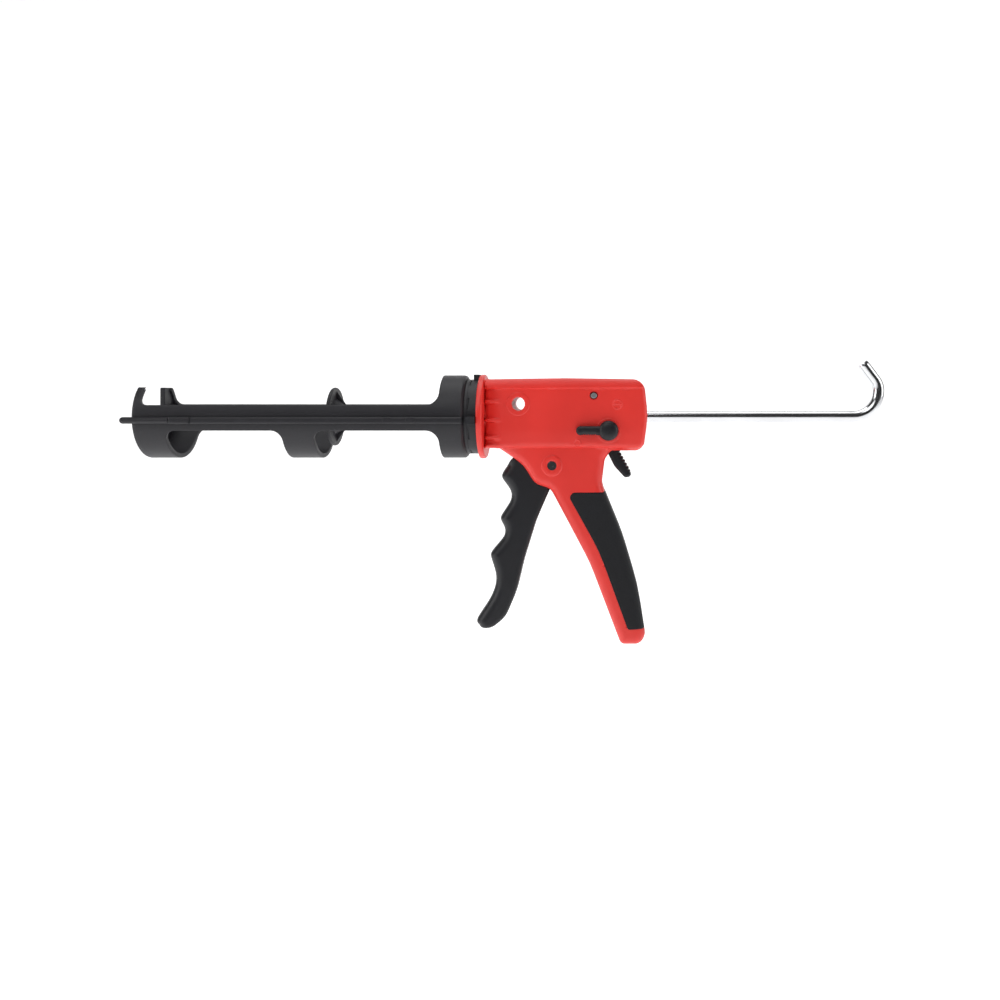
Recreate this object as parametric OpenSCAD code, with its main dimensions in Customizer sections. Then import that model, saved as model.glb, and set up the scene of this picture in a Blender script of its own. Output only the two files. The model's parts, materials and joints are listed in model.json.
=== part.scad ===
// Dripless caulking gun for standard cartridges: swivelling cradle, ratchet-free push rod, two-shell grip housing.
// Frame: the push rod runs along X, the nozzle end is at -X and the hook at +X, the handle hangs down along -Z.
// The origin is on the rod's axis, in the plane where the rear end of the cartridge seats.

/* [Cartridge] */
// Outer diameter of the cartridge
cartridge_d = 50; // [44:0.5:60]
// Length of the cartridge without its nozzle
cartridge_len = 216.2; // [170:0.2:300]
// Radial gap between the cartridge and the cradle
seat_gap = 0.6; // [0.3:0.1:1.5]
// End play of the cartridge in the cradle
end_play = 2; // [1:0.5:6]

/* [Cradle] */
// Wall of the cradle
cradle_wall = 3.2; // [2:0.1:5]
// Thickness of the front plate
front_plate = 3.8; // [2.5:0.1:6]
// Radius of the slot that takes the nozzle
nozzle_slot_r = 11.5; // [6:0.5:14]
// Height of the front horns above the rod's axis
horn_top = 20.3; // [14:0.1:23]
// Height of the side rails above the rod's axis
rail_up = 8.5; // [5:0.1:12]
// Depth of the side rails below the rod's axis
rail_down = 9; // [5:0.1:12]
// Length of the front cup with its plate
cup_len = 21.8; // [12:0.1:40]
// Length of the middle band
band_len = 21.4; // [12:0.1:40]
// Distance of the middle band's rear edge from the seat
band_back = 100.8; // [70:0.2:140]
// Length of the closed ring at the rear
ring_len = 17; // [10:0.5:30]
// Fillet where the bands meet the rails
band_fillet = 7; // [3:0.5:9]
// Thickness of the seat web behind the cartridge
seat_web = 2; // [1.5:0.1:3]
// Height of the outside rib along each rail
rib_h = 4.7; // [3:0.1:7]
// How far the rib stands out
rib_out = 2; // [1:0.1:3]

/* [Piercing pin] */
// Diameter of the piercing pin
pierce_d = 4.5; // [3:0.1:6]
// How far the pin reaches ahead of the cradle
pierce_out = 7; // [3:0.5:12]
// Length of the pin
pierce_len = 33; // [20:1:50]

/* [Swivel] */
// Length of the collar from the seat web to the housing flange
collar_len = 6.1; // [4:0.1:10]
// Wall of the housing's nose tube
nose_wall = 2; // [1.5:0.1:3]
// Radial running gap of the collar on the nose
swivel_gap = 0.1; // [0.05:0.01:0.15]

/* [Rod and plunger] */
// Diameter of the push rod
rod_d = 8; // [6:0.1:9]
// Radial running gap of the rod in its bushes
rod_gap = 0.06; // [0.03:0.01:0.1]
// Distance of the plunger's face ahead of the seat, as drawn
plunger_at = 94.7; // [20:0.1:200]
// Diameter of the plunger disc
plunger_d = 40.6; // [34:0.1:41]
// Thickness of the plunger's rim
plunger_rim = 2.4; // [1.5:0.1:4]
// Length of the plunger with its hub
plunger_len = 10.7; // [8:0.1:14]
// Straight length of the rod behind the seat
rod_tail = 268.6; // [220:0.2:320]
// Radius of the hook's first bend, at the rod's centre line
hook_r1 = 18; // [14:0.5:26]
// Radius of the hook's second bend
hook_r2 = 13; // [10:0.5:20]
// Angle of the second bend
hook_turn = 37; // [20:1:60]
// Straight end of the hook
hook_end = 14.5; // [6:0.5:25]

/* [Housing] */
// Width of the upper body
body_w = 37; // [34:0.5:46]
// Length of the upper body behind the flange
body_len = 111.4; // [110:0.2:134]
// Height of the upper body above the rod's axis
body_top = 25.8; // [24.5:0.1:32]
// Depth of the upper body below the rod's axis
body_bottom = 23.3; // [22:0.1:26]
// Width of the handle
handle_w = 29; // [26:0.5:36]
// Depth of the handle's lower end below the rod's axis
handle_drop = 156.6; // [130:0.2:180]
// Wall of the shells
wall = 2.6; // [2:0.1:3.2]
// Thickness of the round flange behind the collar
flange_t = 4.2; // [3:0.1:6]
// Radius of the round flange
flange_r = 29.3; // [27:0.1:34]
// Radius of the round boss behind the flange
boss_r = 24.6; // [23.6:0.1:27]
// Thickness of the rubber grip
grip_t = 1.8; // [1.2:0.1:2.4]
// Radius of the hang hole
hang_r = 3.8; // [3:0.1:4]
// Shank diameter of the housing screws
screw_d = 3.4; // [2.5:0.1:4]

/* [Trigger] */
// Width of the trigger
trigger_w = 17; // [12:0.5:18]
// Diameter of the trigger's pivot pin
pivot_d = 6.4; // [4:0.1:7]
// Full squeeze of the trigger in degrees
squeeze = 26; // [15:1:26]

/* [Drive and brake] */
// Thickness of one drive plate
plate_t = 2.5; // [1.5:0.1:3]
// Thickness of the brake plate
brake_t = 3; // [2:0.1:3.5]
// Tilt of the brake plate when it grips, in degrees
brake_tilt = 3.47; // [2:0.01:4]
// Diameter of the steel stop pin
stop_d = 4; // [3:0.1:5]
// Diameter of the selector shaft
shaft_d = 5; // [4:0.1:5.4]
// Reach of the selector's arm from its axis
selector_reach = 22; // [14:0.5:24]

/* [Hidden] */
$fn = 64;
E0 = 0.02;
seat_r = cartridge_d / 2 + seat_gap;
cradle_r = seat_r + cradle_wall;
plate_in = -(cartridge_len + end_play);
front_x = plate_in - front_plate;
cup_x = front_x + cup_len;
band_x1 = -band_back;
band_x0 = band_x1 - band_len;
rib_z = -1.9;
rib_r = cradle_r + rib_out;

nose_in = plunger_d / 2 + 0.7;
nose_r = nose_in + nose_wall;
collar_r = seat_r + 0.3;
collar_bore = nose_r + swivel_gap;
collar_x1 = seat_web + collar_len;
groove_x = seat_web + 2.8;
ring_t = 1;
flange_x = collar_x1 + 0.3;
body_x = flange_x + flange_t;
body_x1 = body_x + body_len;
front_wall = 24;
bush_r = rod_d / 2 + 2.5;
rod_r = rod_d / 2;
bush_bore = rod_r + rod_gap;

body_hw = body_w / 2;
hand_hw = handle_w / 2;
wall_low = wall + 0.2;
wall_grip = grip_t + 2.4;

pivot = [58.8, -33.3];
stop_at = [87.5, 14.7];
hang_at = [34.7, 9];
selector_at = [97.5, -9.1];
plates_x1 = 69;
plates_x0 = plates_x1 - 2 * plate_t - 0.1;
plates_hw = 9;
seat_a = hang_at[0] + hang_r + 0.9;
seat_b = 74.5;
seat_t = 2;
nose_tip_r = 2.4;
push_at = [plates_x1 + 0.3 + nose_tip_r, -11];
slot_hw = trigger_w / 2 + 0.8;

brake_top = [stop_at[0] - stop_d / 2 - 0.3 - brake_t / 2 - 0.06, stop_at[1] + 1.8];
brake_drop = 34.4;
brake_mid_x = brake_top[0] + brake_top[1] * tan(brake_tilt);
brake_low = [
    brake_top[0] + (brake_drop - 1.7) * sin(brake_tilt),
    brake_top[1] - (brake_drop - 1.7) * cos(brake_tilt)];
finger_r = 2;
finger_at = [brake_low[0] + brake_t / 2 + 0.35 + finger_r, brake_low[1]];
lever_hw = 5.5;
lever_hub = selector_at[1] * -1 - rod_r - 0.7;

screw_head_r = screw_d;
screw_at = [
    [45, 17.6, body_hw], [107.5, 16.6, body_hw], [31.4, -15.4, body_hw],
    [77, -50, hand_hw], [98.4, -100, hand_hw], [handle_drop * 0.71, 9 - handle_drop, hand_hw]];

// ---- helpers ----

module along_x(r, x0, x1) {
    translate([x0, 0, 0]) rotate([0, 90, 0]) cylinder(r = r, h = x1 - x0);
}

module along_y(r, y0, y1) {
    translate([0, y1, 0]) rotate([90, 0, 0]) cylinder(r = r, h = y1 - y0);
}

// Ring about the X axis
module ring_x(r0, r1, x0, x1) {
    difference() {
        along_x(r1, x0, x1);
        along_x(r0, x0 - 1, x1 + 1);
    }
}

// Moves children from the origin to a point of the side view
module at(p) {
    translate([p[0], 0, p[1]]) children();
}

// Extrudes a side-view shape from y0 to y1
module slab(y0, y1) {
    translate([0, y1, 0]) rotate([90, 0, 0]) linear_extrude(y1 - y0) children();
}

module box(x0, x1, y0, y1, z0, z1) {
    translate([x0, y0, z0]) cube([x1 - x0, y1 - y0, z1 - z0]);
}

function xy(p) = [p[0], p[1]];
function unit(v) = v / norm(v);
function cross2(a, b) = a[0] * b[1] - a[1] * b[0];

// Points of one rounded corner b between its neighbours a and c; b[2] is the radius
function corner(a, b, c) =
    let (
        u = unit(xy(a) - xy(b)), v = unit(xy(c) - xy(b)),
        half = acos(max(-1, min(1, u * v))) / 2,
        d = min(b[2] / tan(half), norm(xy(a) - xy(b)) * 0.48, norm(xy(c) - xy(b)) * 0.48),
        r = d * tan(half),
        m = xy(b) + unit(u + v) * r / sin(half),
        p = xy(b) + u * d - m, q = xy(b) + v * d - m,
        turn = 180 - 2 * half,
        n = max(1, ceil(turn / 15)),
        s = cross2(p, q) > 0 ? 1 : -1,
        a0 = atan2(p[1], p[0]))
    r < 0.05 || turn < 1 ? [xy(b)] : [for (k = [0:n]) m + r * [cos(a0 + s * turn * k / n), sin(a0 + s * turn * k / n)]];

function rounded(pts) = let (n = len(pts))
    [for (i = [0:n - 1]) each corner(pts[(i + n - 1) % n], pts[i], pts[(i + 1) % n])];

// A counter-clockwise outline of corners [x, z, radius], moved inwards by d
function inset(pts, d) = let (n = len(pts))
    [for (i = [0:n - 1])
        let (
            e1 = unit(xy(pts[i]) - xy(pts[(i + n - 1) % n])),
            e2 = unit(xy(pts[(i + 1) % n]) - xy(pts[i])),
            n1 = [-e1[1], e1[0]], n2 = [-e2[1], e2[0]],
            p = xy(pts[i]) + (n1 + n2) * d / (1 + n1 * n2),
            r = cross2(e1, e2) > 0 ? max(0, pts[i][2] - d) : pts[i][2] + d)
        [p[0], p[1], r]];

// One wire coil about the X axis, from x0 to x1
module coil(r, wire, x0, x1, turns, sides = 8, steps = 18) {
    count = round(turns * steps);
    pitch = (x1 - x0 - wire) / turns;
    points = [for (i = [0:count]) for (k = [0:sides - 1])
        let (a = 360 * i / steps, b = 360 * k / sides, q = r + wire / 2 * cos(b))
        [x0 + wire / 2 + pitch * i / steps + wire / 2 * sin(b), q * sin(a), q * cos(a)]];
    faces = concat(
        [[for (k = [0:sides - 1]) k]],
        [for (i = [0:count - 1]) for (k = [0:sides - 1])
            let (a = i * sides + k, b = i * sides + (k + 1) % sides)
            each [[a, a + sides, b], [b, a + sides, b + sides]]],
        [[for (k = [sides - 1:-1:0]) count * sides + k]]);
    polyhedron(points, faces);
}

// ---- cradle and swivel ----

// Concave fillet that fills the corner at the origin towards the direction (sx, sz)
module fillet2d(r, sx, sz) {
    scale([sx, sz]) difference() {
        square(r);
        translate([r, r]) circle(r);
    }
}

module rect2d(x0, x1, z0, z1) {
    translate([x0, z0]) square([x1 - x0, z1 - z0]);
}

module cradle_side() {
    rect2d(front_x, 0, -rail_down, rail_up);
    rect2d(front_x, cup_x, -cradle_r - 1, 0);
    rect2d(front_x, plate_in + 1.4, 0, horn_top);
    rect2d(band_x0, band_x1, -cradle_r - 1, 0);
    rect2d(-ring_len, seat_web, -cradle_r - 1, cradle_r + 1);
    translate([plate_in + 1.4 - E0, rail_up - E0]) fillet2d(5, 1, 1);
    translate([cup_x - E0, -rail_down + E0]) fillet2d(band_fillet, 1, -1);
    translate([band_x0 + E0, -rail_down + E0]) fillet2d(band_fillet, -1, -1);
    translate([band_x1 - E0, -rail_down + E0]) fillet2d(band_fillet, 1, -1);
    translate([-ring_len + E0, -rail_down + E0]) fillet2d(band_fillet + 1.4, -1, -1);
    translate([-ring_len + E0, rail_up - E0]) fillet2d(band_fillet + 1.4, -1, 1);
}

module rail_rib(side, x0, x1, r) {
    box(x0, x1, min(side * (seat_r - 0.8), side * r), max(side * (seat_r - 0.8), side * r),
        rib_z - rib_h / 2, rib_z + rib_h / 2);
}

module cradle() {
    color([0.22, 0.22, 0.24]) difference() {
        union() {
            intersection() {
                union() {
                    ring_x(seat_r, cradle_r, front_x, 0);
                    along_x(cradle_r, front_x, plate_in);
                    along_x(collar_r, -E0, seat_web);
                }
                slab(-cradle_r - 1, cradle_r + 1) cradle_side();
            }
            for (side = [-1, 1]) rail_rib(side, front_x + pierce_len + 7, 0, rib_r);
            rail_rib(-1, front_x - pierce_out + pierce_len, front_x + pierce_len + 7.1, rib_r + 0.8);
            rail_rib(1, front_x + 3, front_x + pierce_len + 7.1, rib_r);
        }
        along_x(seat_r, plate_in, 0);
        along_x(collar_bore, -E0, seat_web + 1);
        along_x(nozzle_slot_r, front_x - 1, plate_in + 1);
        box(front_x - 1, plate_in + 1, -nozzle_slot_r, nozzle_slot_r, 0, cradle_r + 1);
        pierce_place() along_x(pierce_d / 2, -1, pierce_len);
    }
}

module pierce_place() {
    translate([front_x - pierce_out, -(cradle_r + 0.6), rib_z]) children();
}

module piercing_pin() {
    color([0.2, 0.2, 0.22]) pierce_place() {
        along_x(pierce_d / 2, pierce_d / 2, pierce_len);
        translate([pierce_d / 2, 0, 0]) rotate([0, -90, 0]) intersection() {
            sphere(r = pierce_d / 2);
            translate([-pierce_d, -pierce_d, 0]) cube(2 * pierce_d);
        }
    }
}

module swivel_collar() {
    color([0.17, 0.17, 0.18]) difference() {
        union() {
            along_x(collar_r, seat_web, collar_x1);
            rail_rib(-1, seat_web, collar_x1, rib_r);
            rail_rib(1, seat_web, collar_x1, rib_r);
            at([0, seat_r]) box(collar_x1 - 3.9, collar_x1, -6, 6, -3, cradle_wall + 0.4);
        }
        along_x(collar_bore, seat_web - 1, collar_x1 + 1);
        along_x(nose_r + 1.2, groove_x - 0.3, groove_x + ring_t + 0.3);
        for (a = [25:45:340]) rotate([a, 0, 0]) box(seat_web + 0.5, seat_web + 1.6, -4.5, 4.5, collar_r - 1, collar_r + 1);
    }
}

module snap_ring() {
    color("silver") difference() {
        ring_x(nose_r - 0.7, nose_r + 0.9, groove_x, groove_x + ring_t);
        box(groove_x - 1, groove_x + 3, -2.5, 2.5, 0, nose_r + 3);
    }
}

// ---- housing ----

body_pts = [
    [body_x, -body_bottom + 2, 0], [body_x1 - 2.4, -body_bottom + 2, 5], [body_x1 + 0.6, 0, 60],
    [body_x1 - 2.2, body_top, 7], [68, body_top + 0.8, 60], [body_x, body_top, 1]];

grip_back = [body_x1 - 1.2, -handle_drop + 6];
housing_pts = [
    [body_x + 8, -body_bottom, 4], [22.5, -body_bottom + 0.4, 10], [47, -47.6, 9], [57.5, -50, 8], [84.6, -100.5, 120],
    [106, -handle_drop, 4], [119, -handle_drop, 7], [grip_back[0] + 0.4, grip_back[1], 30],
    [118.2, -118, 150], [107.5, -82, 150], [92.9, -46.2, 14], [95, -body_bottom - 6, 6], [99, -body_bottom, 4],
    [body_x1 - 4, -body_bottom, 4], [body_x1 - 4, 0, 1], [body_x + 8, 0, 1]];

grip_pts = [
    [72.4, -54.4, 5], [91.9, -92, 120], [111.6, -handle_drop + 7.6, 2], [130, -handle_drop + 11, 0],
    [130, -53.4, 0], [74, -53.4, 3]];

module halves_slab(hw, d = 0) {
    slab(-hw, hw) polygon(rounded(inset($outline, d)));
}

module housing_solid() {
    $outline = body_pts;
    halves_slab(body_hw - 2);
    halves_slab(body_hw, 1.4);
    housing_low() {
        halves_slab(hand_hw - 4);
        halves_slab(hand_hw - 1.4, 1.4);
        halves_slab(hand_hw, 3.6);
    }
    along_x(boss_r, body_x, front_wall + wall);
    along_x(flange_r, flange_x, body_x);
    along_x(nose_r, 0.3, body_x);
    for (z = [-14, -2, 10.7]) box(body_x - 1, front_wall + 0.5, -boss_r - 1.4, boss_r + 1.4, z - 1, z + 1);
    at(pivot) along_y(6.5, -hand_hw - 0.8, hand_hw + 0.8);
}

module housing_low() {
    $outline = housing_pts;
    children();
}

module housing_cavity() {
    difference() {
        slab(-body_hw + wall, body_hw - wall) polygon(rounded(inset(body_pts, wall)));
        box(0, front_wall + wall, -40, 40, -60, 60);
    }
    intersection() {
        slab(-hand_hw + wall_low, hand_hw - wall_low) polygon(rounded(inset(housing_pts, wall_low)));
        box(front_wall + wall, 130, -40, 40, -50, 5);
    }
    slab(-hand_hw + wall_grip, hand_hw - wall_grip) intersection() {
        polygon(rounded(inset(housing_pts, wall_grip)));
        rect2d(front_wall + wall, 130, -handle_drop, -20);
    }
    // Slot through which the trigger swings
    slab(-slot_hw, slot_hw)
        polygon([[front_wall + wall, -25.4], [66, -25.4], [70, -46], [70, -69], [60, -76], [14, -76], [14, -34]]);
    // Opening for the thumb lever
    slab(-lever_hw - 0.8, lever_hw + 0.8) rect2d(90.5, 108, -38, -body_bottom + 6);
}

module housing_inside() {
    box(seat_a, seat_a + seat_t, -body_hw + 1, body_hw - 1, -8.5, body_top - 1);
    box(seat_b, seat_b + seat_t, -body_hw + 1, body_hw - 1, -7.5, body_top - 1);
    along_x(bush_r + 2.5, body_x1 - 14, body_x1 - 1);
    at(hang_at) along_y(hang_r + 1.5, -body_hw + 1, body_hw - 1);
    at(stop_at) for (s = [-1, 1]) translate([0, s * (body_hw - 3.4), 0]) along_y(stop_d / 2 + 2, -2.4, 2.4);
    for (s = screw_at) at(s) along_y(screw_d / 2 + 2.3, -s[2] + 1, s[2] - 1);
    at(pivot) for (s = [-1, 1]) translate([0, s * (hand_hw - 2), 0]) along_y(6.5, -1.4, 1.4);
}

module housing_bores(side) {
    along_x(nose_in, -1, front_wall);
    ring_x(nose_r - 0.8, nose_r + 5, groove_x - 0.1, groove_x + ring_t + 0.1);
    along_x(bush_r, front_wall - 1, front_wall + wall + 1);
    along_x(rod_r + 0.6, front_wall, body_x1 + 5);
    along_x(bush_r, body_x1 - 15, body_x1 - 4);
    at(hang_at) along_y(hang_r, -body_hw - 1, body_hw + 1);
    at(stop_at) {
        along_y(stop_d / 2, -body_hw + 1, body_hw - 1);
        along_y(stop_d / 2 + 0.8, -body_hw - 1, -body_hw + 1.1);
    }
    at(selector_at) along_y(shaft_d / 2 + 0.1, -body_hw - 2, body_hw + 2);
    at(pivot) along_y(pivot_d / 2, -hand_hw - 3, hand_hw + 3);
    for (s = screw_at) at(s) if (side < 0) along_y(screw_d / 2, -s[2] + 3, 9);
    else {
        along_y(screw_d / 2 + 0.3, -9, s[2] + 1);
        along_y(screw_head_r + 0.2, s[2] - 4, s[2] + 5);
    }
}

module grip_void() {
    difference() {
        slab(-hand_hw - 2, hand_hw + 2) polygon(rounded(grip_pts));
        slab(-hand_hw + grip_t, hand_hw - grip_t) polygon(rounded(inset(housing_pts, grip_t)));
    }
}

// One shell: side is -1 for the left one and 1 for the right one
module housing(side) {
    color([0.84, 0.2, 0.17]) difference() {
        housing_solid();
        difference() {
            housing_cavity();
            housing_inside();
        }
        housing_bores(side);
        grip_void();
        box(-10, 200, min(0, -side * 60), max(0, -side * 60), -200, 60);
    }
}

module housing_left() {
    housing(-1);
}

module housing_right() {
    housing(1);
}

module housing_screws() {
    color("dimgray") for (s = screw_at) at(s) {
        along_y(screw_d / 2, -s[2] + 4, s[2] - 4);
        difference() {
            along_y(screw_head_r, s[2] - 4, s[2] - 1.4);
            translate([0, s[2] - 1.3, 0]) cube([0.9, 2.4, 4], center = true);
            translate([0, s[2] - 1.3, 0]) cube([4, 2.4, 0.9], center = true);
        }
    }
}

module grip_pad() {
    color([0.14, 0.14, 0.15]) difference() {
        intersection() {
            union() {
                $outline = housing_pts;
                halves_slab(hand_hw - 4);
                halves_slab(hand_hw - 1.4, 1.4);
                halves_slab(hand_hw, 3.6);
            }
            slab(-hand_hw - 2, hand_hw + 2) polygon(rounded(grip_pts));
        }
        slab(-hand_hw + grip_t, hand_hw - grip_t) polygon(rounded(inset(housing_pts, grip_t)));
        for (s = screw_at) at(s) along_y(screw_head_r + 0.6, 0, s[2] + 5);
    }
}

// ---- rod and plunger ----

module front_bush() {
    color("tan") {
        ring_x(bush_bore, bush_r, front_wall, front_wall + 6);
        ring_x(bush_bore, bush_r + 2, front_wall - 2, front_wall);
    }
}

module rear_bush() {
    color("tan") ring_x(bush_bore, bush_r, body_x1 - 13, body_x1 - 4);
}

// The straight bar. Its hook is a node of its own, so that collision follows the bend
hook_x = rod_tail - 120; // where the bar and its hooked end are split, so each gets its own collision hulls

module rod() {
    color("silver") along_x(rod_r, -plunger_at + 3, hook_x);
}

module rod_hook() {
    bend1 = [rod_tail, hook_r1];
    bend2 = bend1 + [hook_r1 - hook_r2, 0];
    color("silver") {
        along_x(rod_r, hook_x, rod_tail);
        at(bend1) rotate([90, 0, 0]) rotate([0, 0, -90]) rotate_extrude(angle = 90) translate([hook_r1, 0]) circle(rod_r);
        at(bend2) rotate([90, 0, 0]) {
            rotate_extrude(angle = hook_turn) translate([hook_r2, 0]) circle(rod_r);
            rotate([0, 0, hook_turn]) translate([hook_r2, 0, 0]) rotate([-90, 0, 0]) {
                cylinder(r = rod_r, h = hook_end - 1.5);
                translate([0, 0, hook_end - 1.5]) cylinder(r1 = rod_r, r2 = rod_r - 1.2, h = 1.5);
            }
        }
    }
}

module plunger() {
    x0 = -plunger_at;
    x1 = x0 + plunger_len;
    color([0.16, 0.16, 0.17]) difference() {
        union() {
            along_x(plunger_d / 2, x0, x0 + plunger_rim);
            translate([x0 + plunger_rim - 0.1, 0, 0]) rotate([0, 90, 0])
                cylinder(r1 = 12, r2 = rod_r + 2.6, h = x1 - x0 - plunger_rim + 0.1);
            for (a = [0:60:300]) rotate([a, 0, 0])
                slab(-0.9, 0.9) polygon([[x0 + 1, 5], [x1 - 0.6, 5], [x1 - 0.6, rod_r + 2.2], [x0 + plunger_rim, plunger_d / 2 - 2.6], [x0 + 1, plunger_d / 2 - 2.6]]);
        }
        along_x(rod_r, x0 + 2.6, x1 + 1);
        along_x(rod_r + 3.2, x0 - 1, x0 + 3);
    }
}

module plunger_screw() {
    x0 = -plunger_at;
    color("silver") difference() {
        along_x(rod_r + 3, x0 + 0.2, x0 + 3);
        along_x(2, x0 - 1, x0 + 1.8);
    }
}

module plunger_washer() {
    color("silver") ring_x(rod_r + 0.02, rod_r + 3.4, -plunger_at + plunger_len, -plunger_at + plunger_len + 1.2);
}

module plunger_nut() {
    x0 = -plunger_at + plunger_len + 1.2;
    color("silver") difference() {
        translate([x0, 0, 0]) rotate([0, 90, 0]) cylinder(r = 7.2, h = 4.4, $fn = 6);
        along_x(rod_r + 0.02, x0 - 1, x0 + 6);
    }
}

// ---- trigger ----

trigger_pts = [
    [9.5, -146.8, 3], [17, -146.4, 8], [26.5, -138.5, 16], [33.7, -121.5, 60], [38.6, -100.5, 80], [47.2, -72.5, 60],
    [57.6, -48.5, 30], [66.5, -38, 4], [64, -26.5, 6], [46, -26.5, 3], [31.5, -27.4, 3], [22.2, -41.4, 4],
    [32.2, -54.6, 9], [21.6, -70.6, 3.6], [27.4, -80.6, 9], [14.8, -95.4, 4], [20.2, -112, 40], [17, -124, 40], [4.2, -143.2, 4]];

module trigger() {
    arm = unit(push_at - pivot);
    fore = [-arm[1], arm[0]];
    color([0.18, 0.18, 0.19]) difference() {
        union() {
            $outline = trigger_pts;
            halves_slab(trigger_w / 2 - 2.6);
            halves_slab(trigger_w / 2 - 0.8, 0.9);
            halves_slab(trigger_w / 2, 2.2);
            at(pivot) along_y(8.5, -hand_hw + wall_low + 1.2, hand_hw - wall_low - 1.2);
            slab(-6, 6) polygon([
                push_at + 1.6 * fore, push_at + 1.6 * fore - 11.6 * arm, pivot + [-6, 5], pivot + [6, -3],
                push_at - nose_tip_r * fore]);
            at(push_at) along_y(nose_tip_r, -6, 6);
        }
        at(pivot) along_y(pivot_d / 2 + 0.1, -20, 20);
    }
}

module trigger_pivot_pin() {
    color([0.15, 0.15, 0.15]) at(pivot) along_y(pivot_d / 2, -hand_hw - 0.6, hand_hw + 2.2);
}

module pivot_pin_clip() {
    color("gray") at(pivot) difference() {
        along_y(pivot_d / 2 + 2, hand_hw + 0.8, hand_hw + 1.6);
        along_y(pivot_d / 2, hand_hw, hand_hw + 3);
    }
}

// ---- drive and brake ----

module drive_plates() {
    color("gray") for (k = [0, 1]) {
        x0 = plates_x0 + k * (plate_t + 0.1);
        difference() {
            box(x0, x0 + plate_t, -plates_hw, plates_hw, push_at[1] - 1, 11);
            along_x(rod_r + 0.3, x0 - 1, x0 + plate_t + 1);
        }
    }
}

module drive_spring() {
    color("silver") coil(6.6, 1.2, seat_a + seat_t + 0.1, plates_x0 - 0.1, 6);
}

module brake_plate() {
    color("gray") at(brake_top) rotate([0, -brake_tilt, 0]) difference() {
        box(-brake_t / 2, brake_t / 2, -10, 10, -brake_drop, 1.6);
        translate([0, 0, -brake_top[1] / cos(brake_tilt)]) along_x(rod_r + 0.4, -brake_t, brake_t);
    }
}

module brake_spring() {
    color("silver") coil(6, 1.1, seat_b + seat_t + 0.1, brake_mid_x - brake_t / 2 - 0.6, 3);
}

module stop_pin() {
    color("silver") at(stop_at) along_y(stop_d / 2, -body_hw + 1, body_hw - 1);
}

lever_pts = [
    [93.6, -8, 2], [92.8, -12, 2], [97.2, -25.5, 6], [101.6, -34.4, 12], [109, -42.4, 2.4], [113.6, -41.6, 2.6],
    [112.4, -37, 6], [104.8, -24, 10], [102, -12, 3], [101, -8, 2]];

module release_lever() {
    color([0.16, 0.16, 0.17]) difference() {
        union() {
            slab(-lever_hw, lever_hw) polygon(rounded(lever_pts));
            at(selector_at) along_y(lever_hub, -lever_hw - 1, lever_hw + 1);
            slab(-lever_hw, lever_hw) polygon([
                finger_at + [0, finger_r], finger_at - [0, finger_r], selector_at + [0, -9], selector_at + [0, -3]]);
            at(finger_at) along_y(finger_r, -lever_hw, lever_hw);
        }
        at(selector_at) along_y(shaft_d / 2 + 0.1, -20, 20);
        along_x(rod_r + 0.7, 80, 120);
    }
}

module lever_spring() {
    color("silver") at(selector_at) rotate([0, 0, -90]) coil(shaft_d / 2 + 0.8, 0.8, lever_hw + 1.4, lever_hw + 4.6, 3, 6, 14);
}

module selector_knob() {
    y1 = -body_hw - 0.3;
    color([0.13, 0.13, 0.14]) at(selector_at) difference() {
        union() {
            along_y(6.8, y1 - 3.4, y1);
            along_y(5.4, y1 - 4.6, y1);
            along_y(3.6, y1 - 5.2, y1);
            slab(y1 - 3.2, y1) {
                rect2d(-selector_reach + 2.9, 0, -2.9, 2.9);
                translate([-selector_reach + 2.9, 0]) circle(2.9);
            }
        }
        along_y(shaft_d / 2, y1 - 3, y1 + 1);
    }
}

module selector_shaft() {
    color("silver") at(selector_at) along_y(shaft_d / 2, -body_hw - 3.3, body_hw + 2.4);
}

module selector_cam() {
    color("dimgray") at(selector_at) difference() {
        slab(lever_hw + 2, lever_hw + 5) {
            circle(4.2);
            polygon([[0, 4.2], [-6, 1.8], [-6, -1.8], [0, -4.2]]);
            translate([-5.4, 0]) circle(1.9);
        }
        along_y(shaft_d / 2, 0, 20);
    }
}

module selector_clip() {
    color("gray") at(selector_at) difference() {
        along_y(shaft_d / 2 + 2.4, body_hw + 0.3, body_hw + 1.2);
        along_y(shaft_d / 2, body_hw, body_hw + 2);
        box(-1.6, 1.6, body_hw, body_hw + 2, 1.5, 8);
    }
}

cradle();
piercing_pin();
swivel_collar();
snap_ring();
housing_left();
housing_right();
housing_screws();
grip_pad();
front_bush();
rear_bush();
rod();
rod_hook();
plunger();
plunger_screw();
plunger_washer();
plunger_nut();
trigger();
trigger_pivot_pin();
pivot_pin_clip();
drive_plates();
drive_spring();
brake_plate();
brake_spring();
stop_pin();
release_lever();
lever_spring();
selector_knob();
selector_shaft();
selector_cam();
selector_clip();
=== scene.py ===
"""Looks for a hand caulking gun: moulded shells, rubber grip, cradle, plated rod, springs and their
finishes.

Every new piece is a surface worked out with numpy in millimetres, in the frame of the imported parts, and it
takes the place of the plainer part it is named after. The other parts keep their own shape and get a finish.
"""

import json

import bmesh
import bpy
import numpy as np
from bpy.props import FloatProperty, FloatVectorProperty, IntProperty, PointerProperty
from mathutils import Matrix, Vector
from mathutils.geometry import delaunay_2d_cdt


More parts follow.
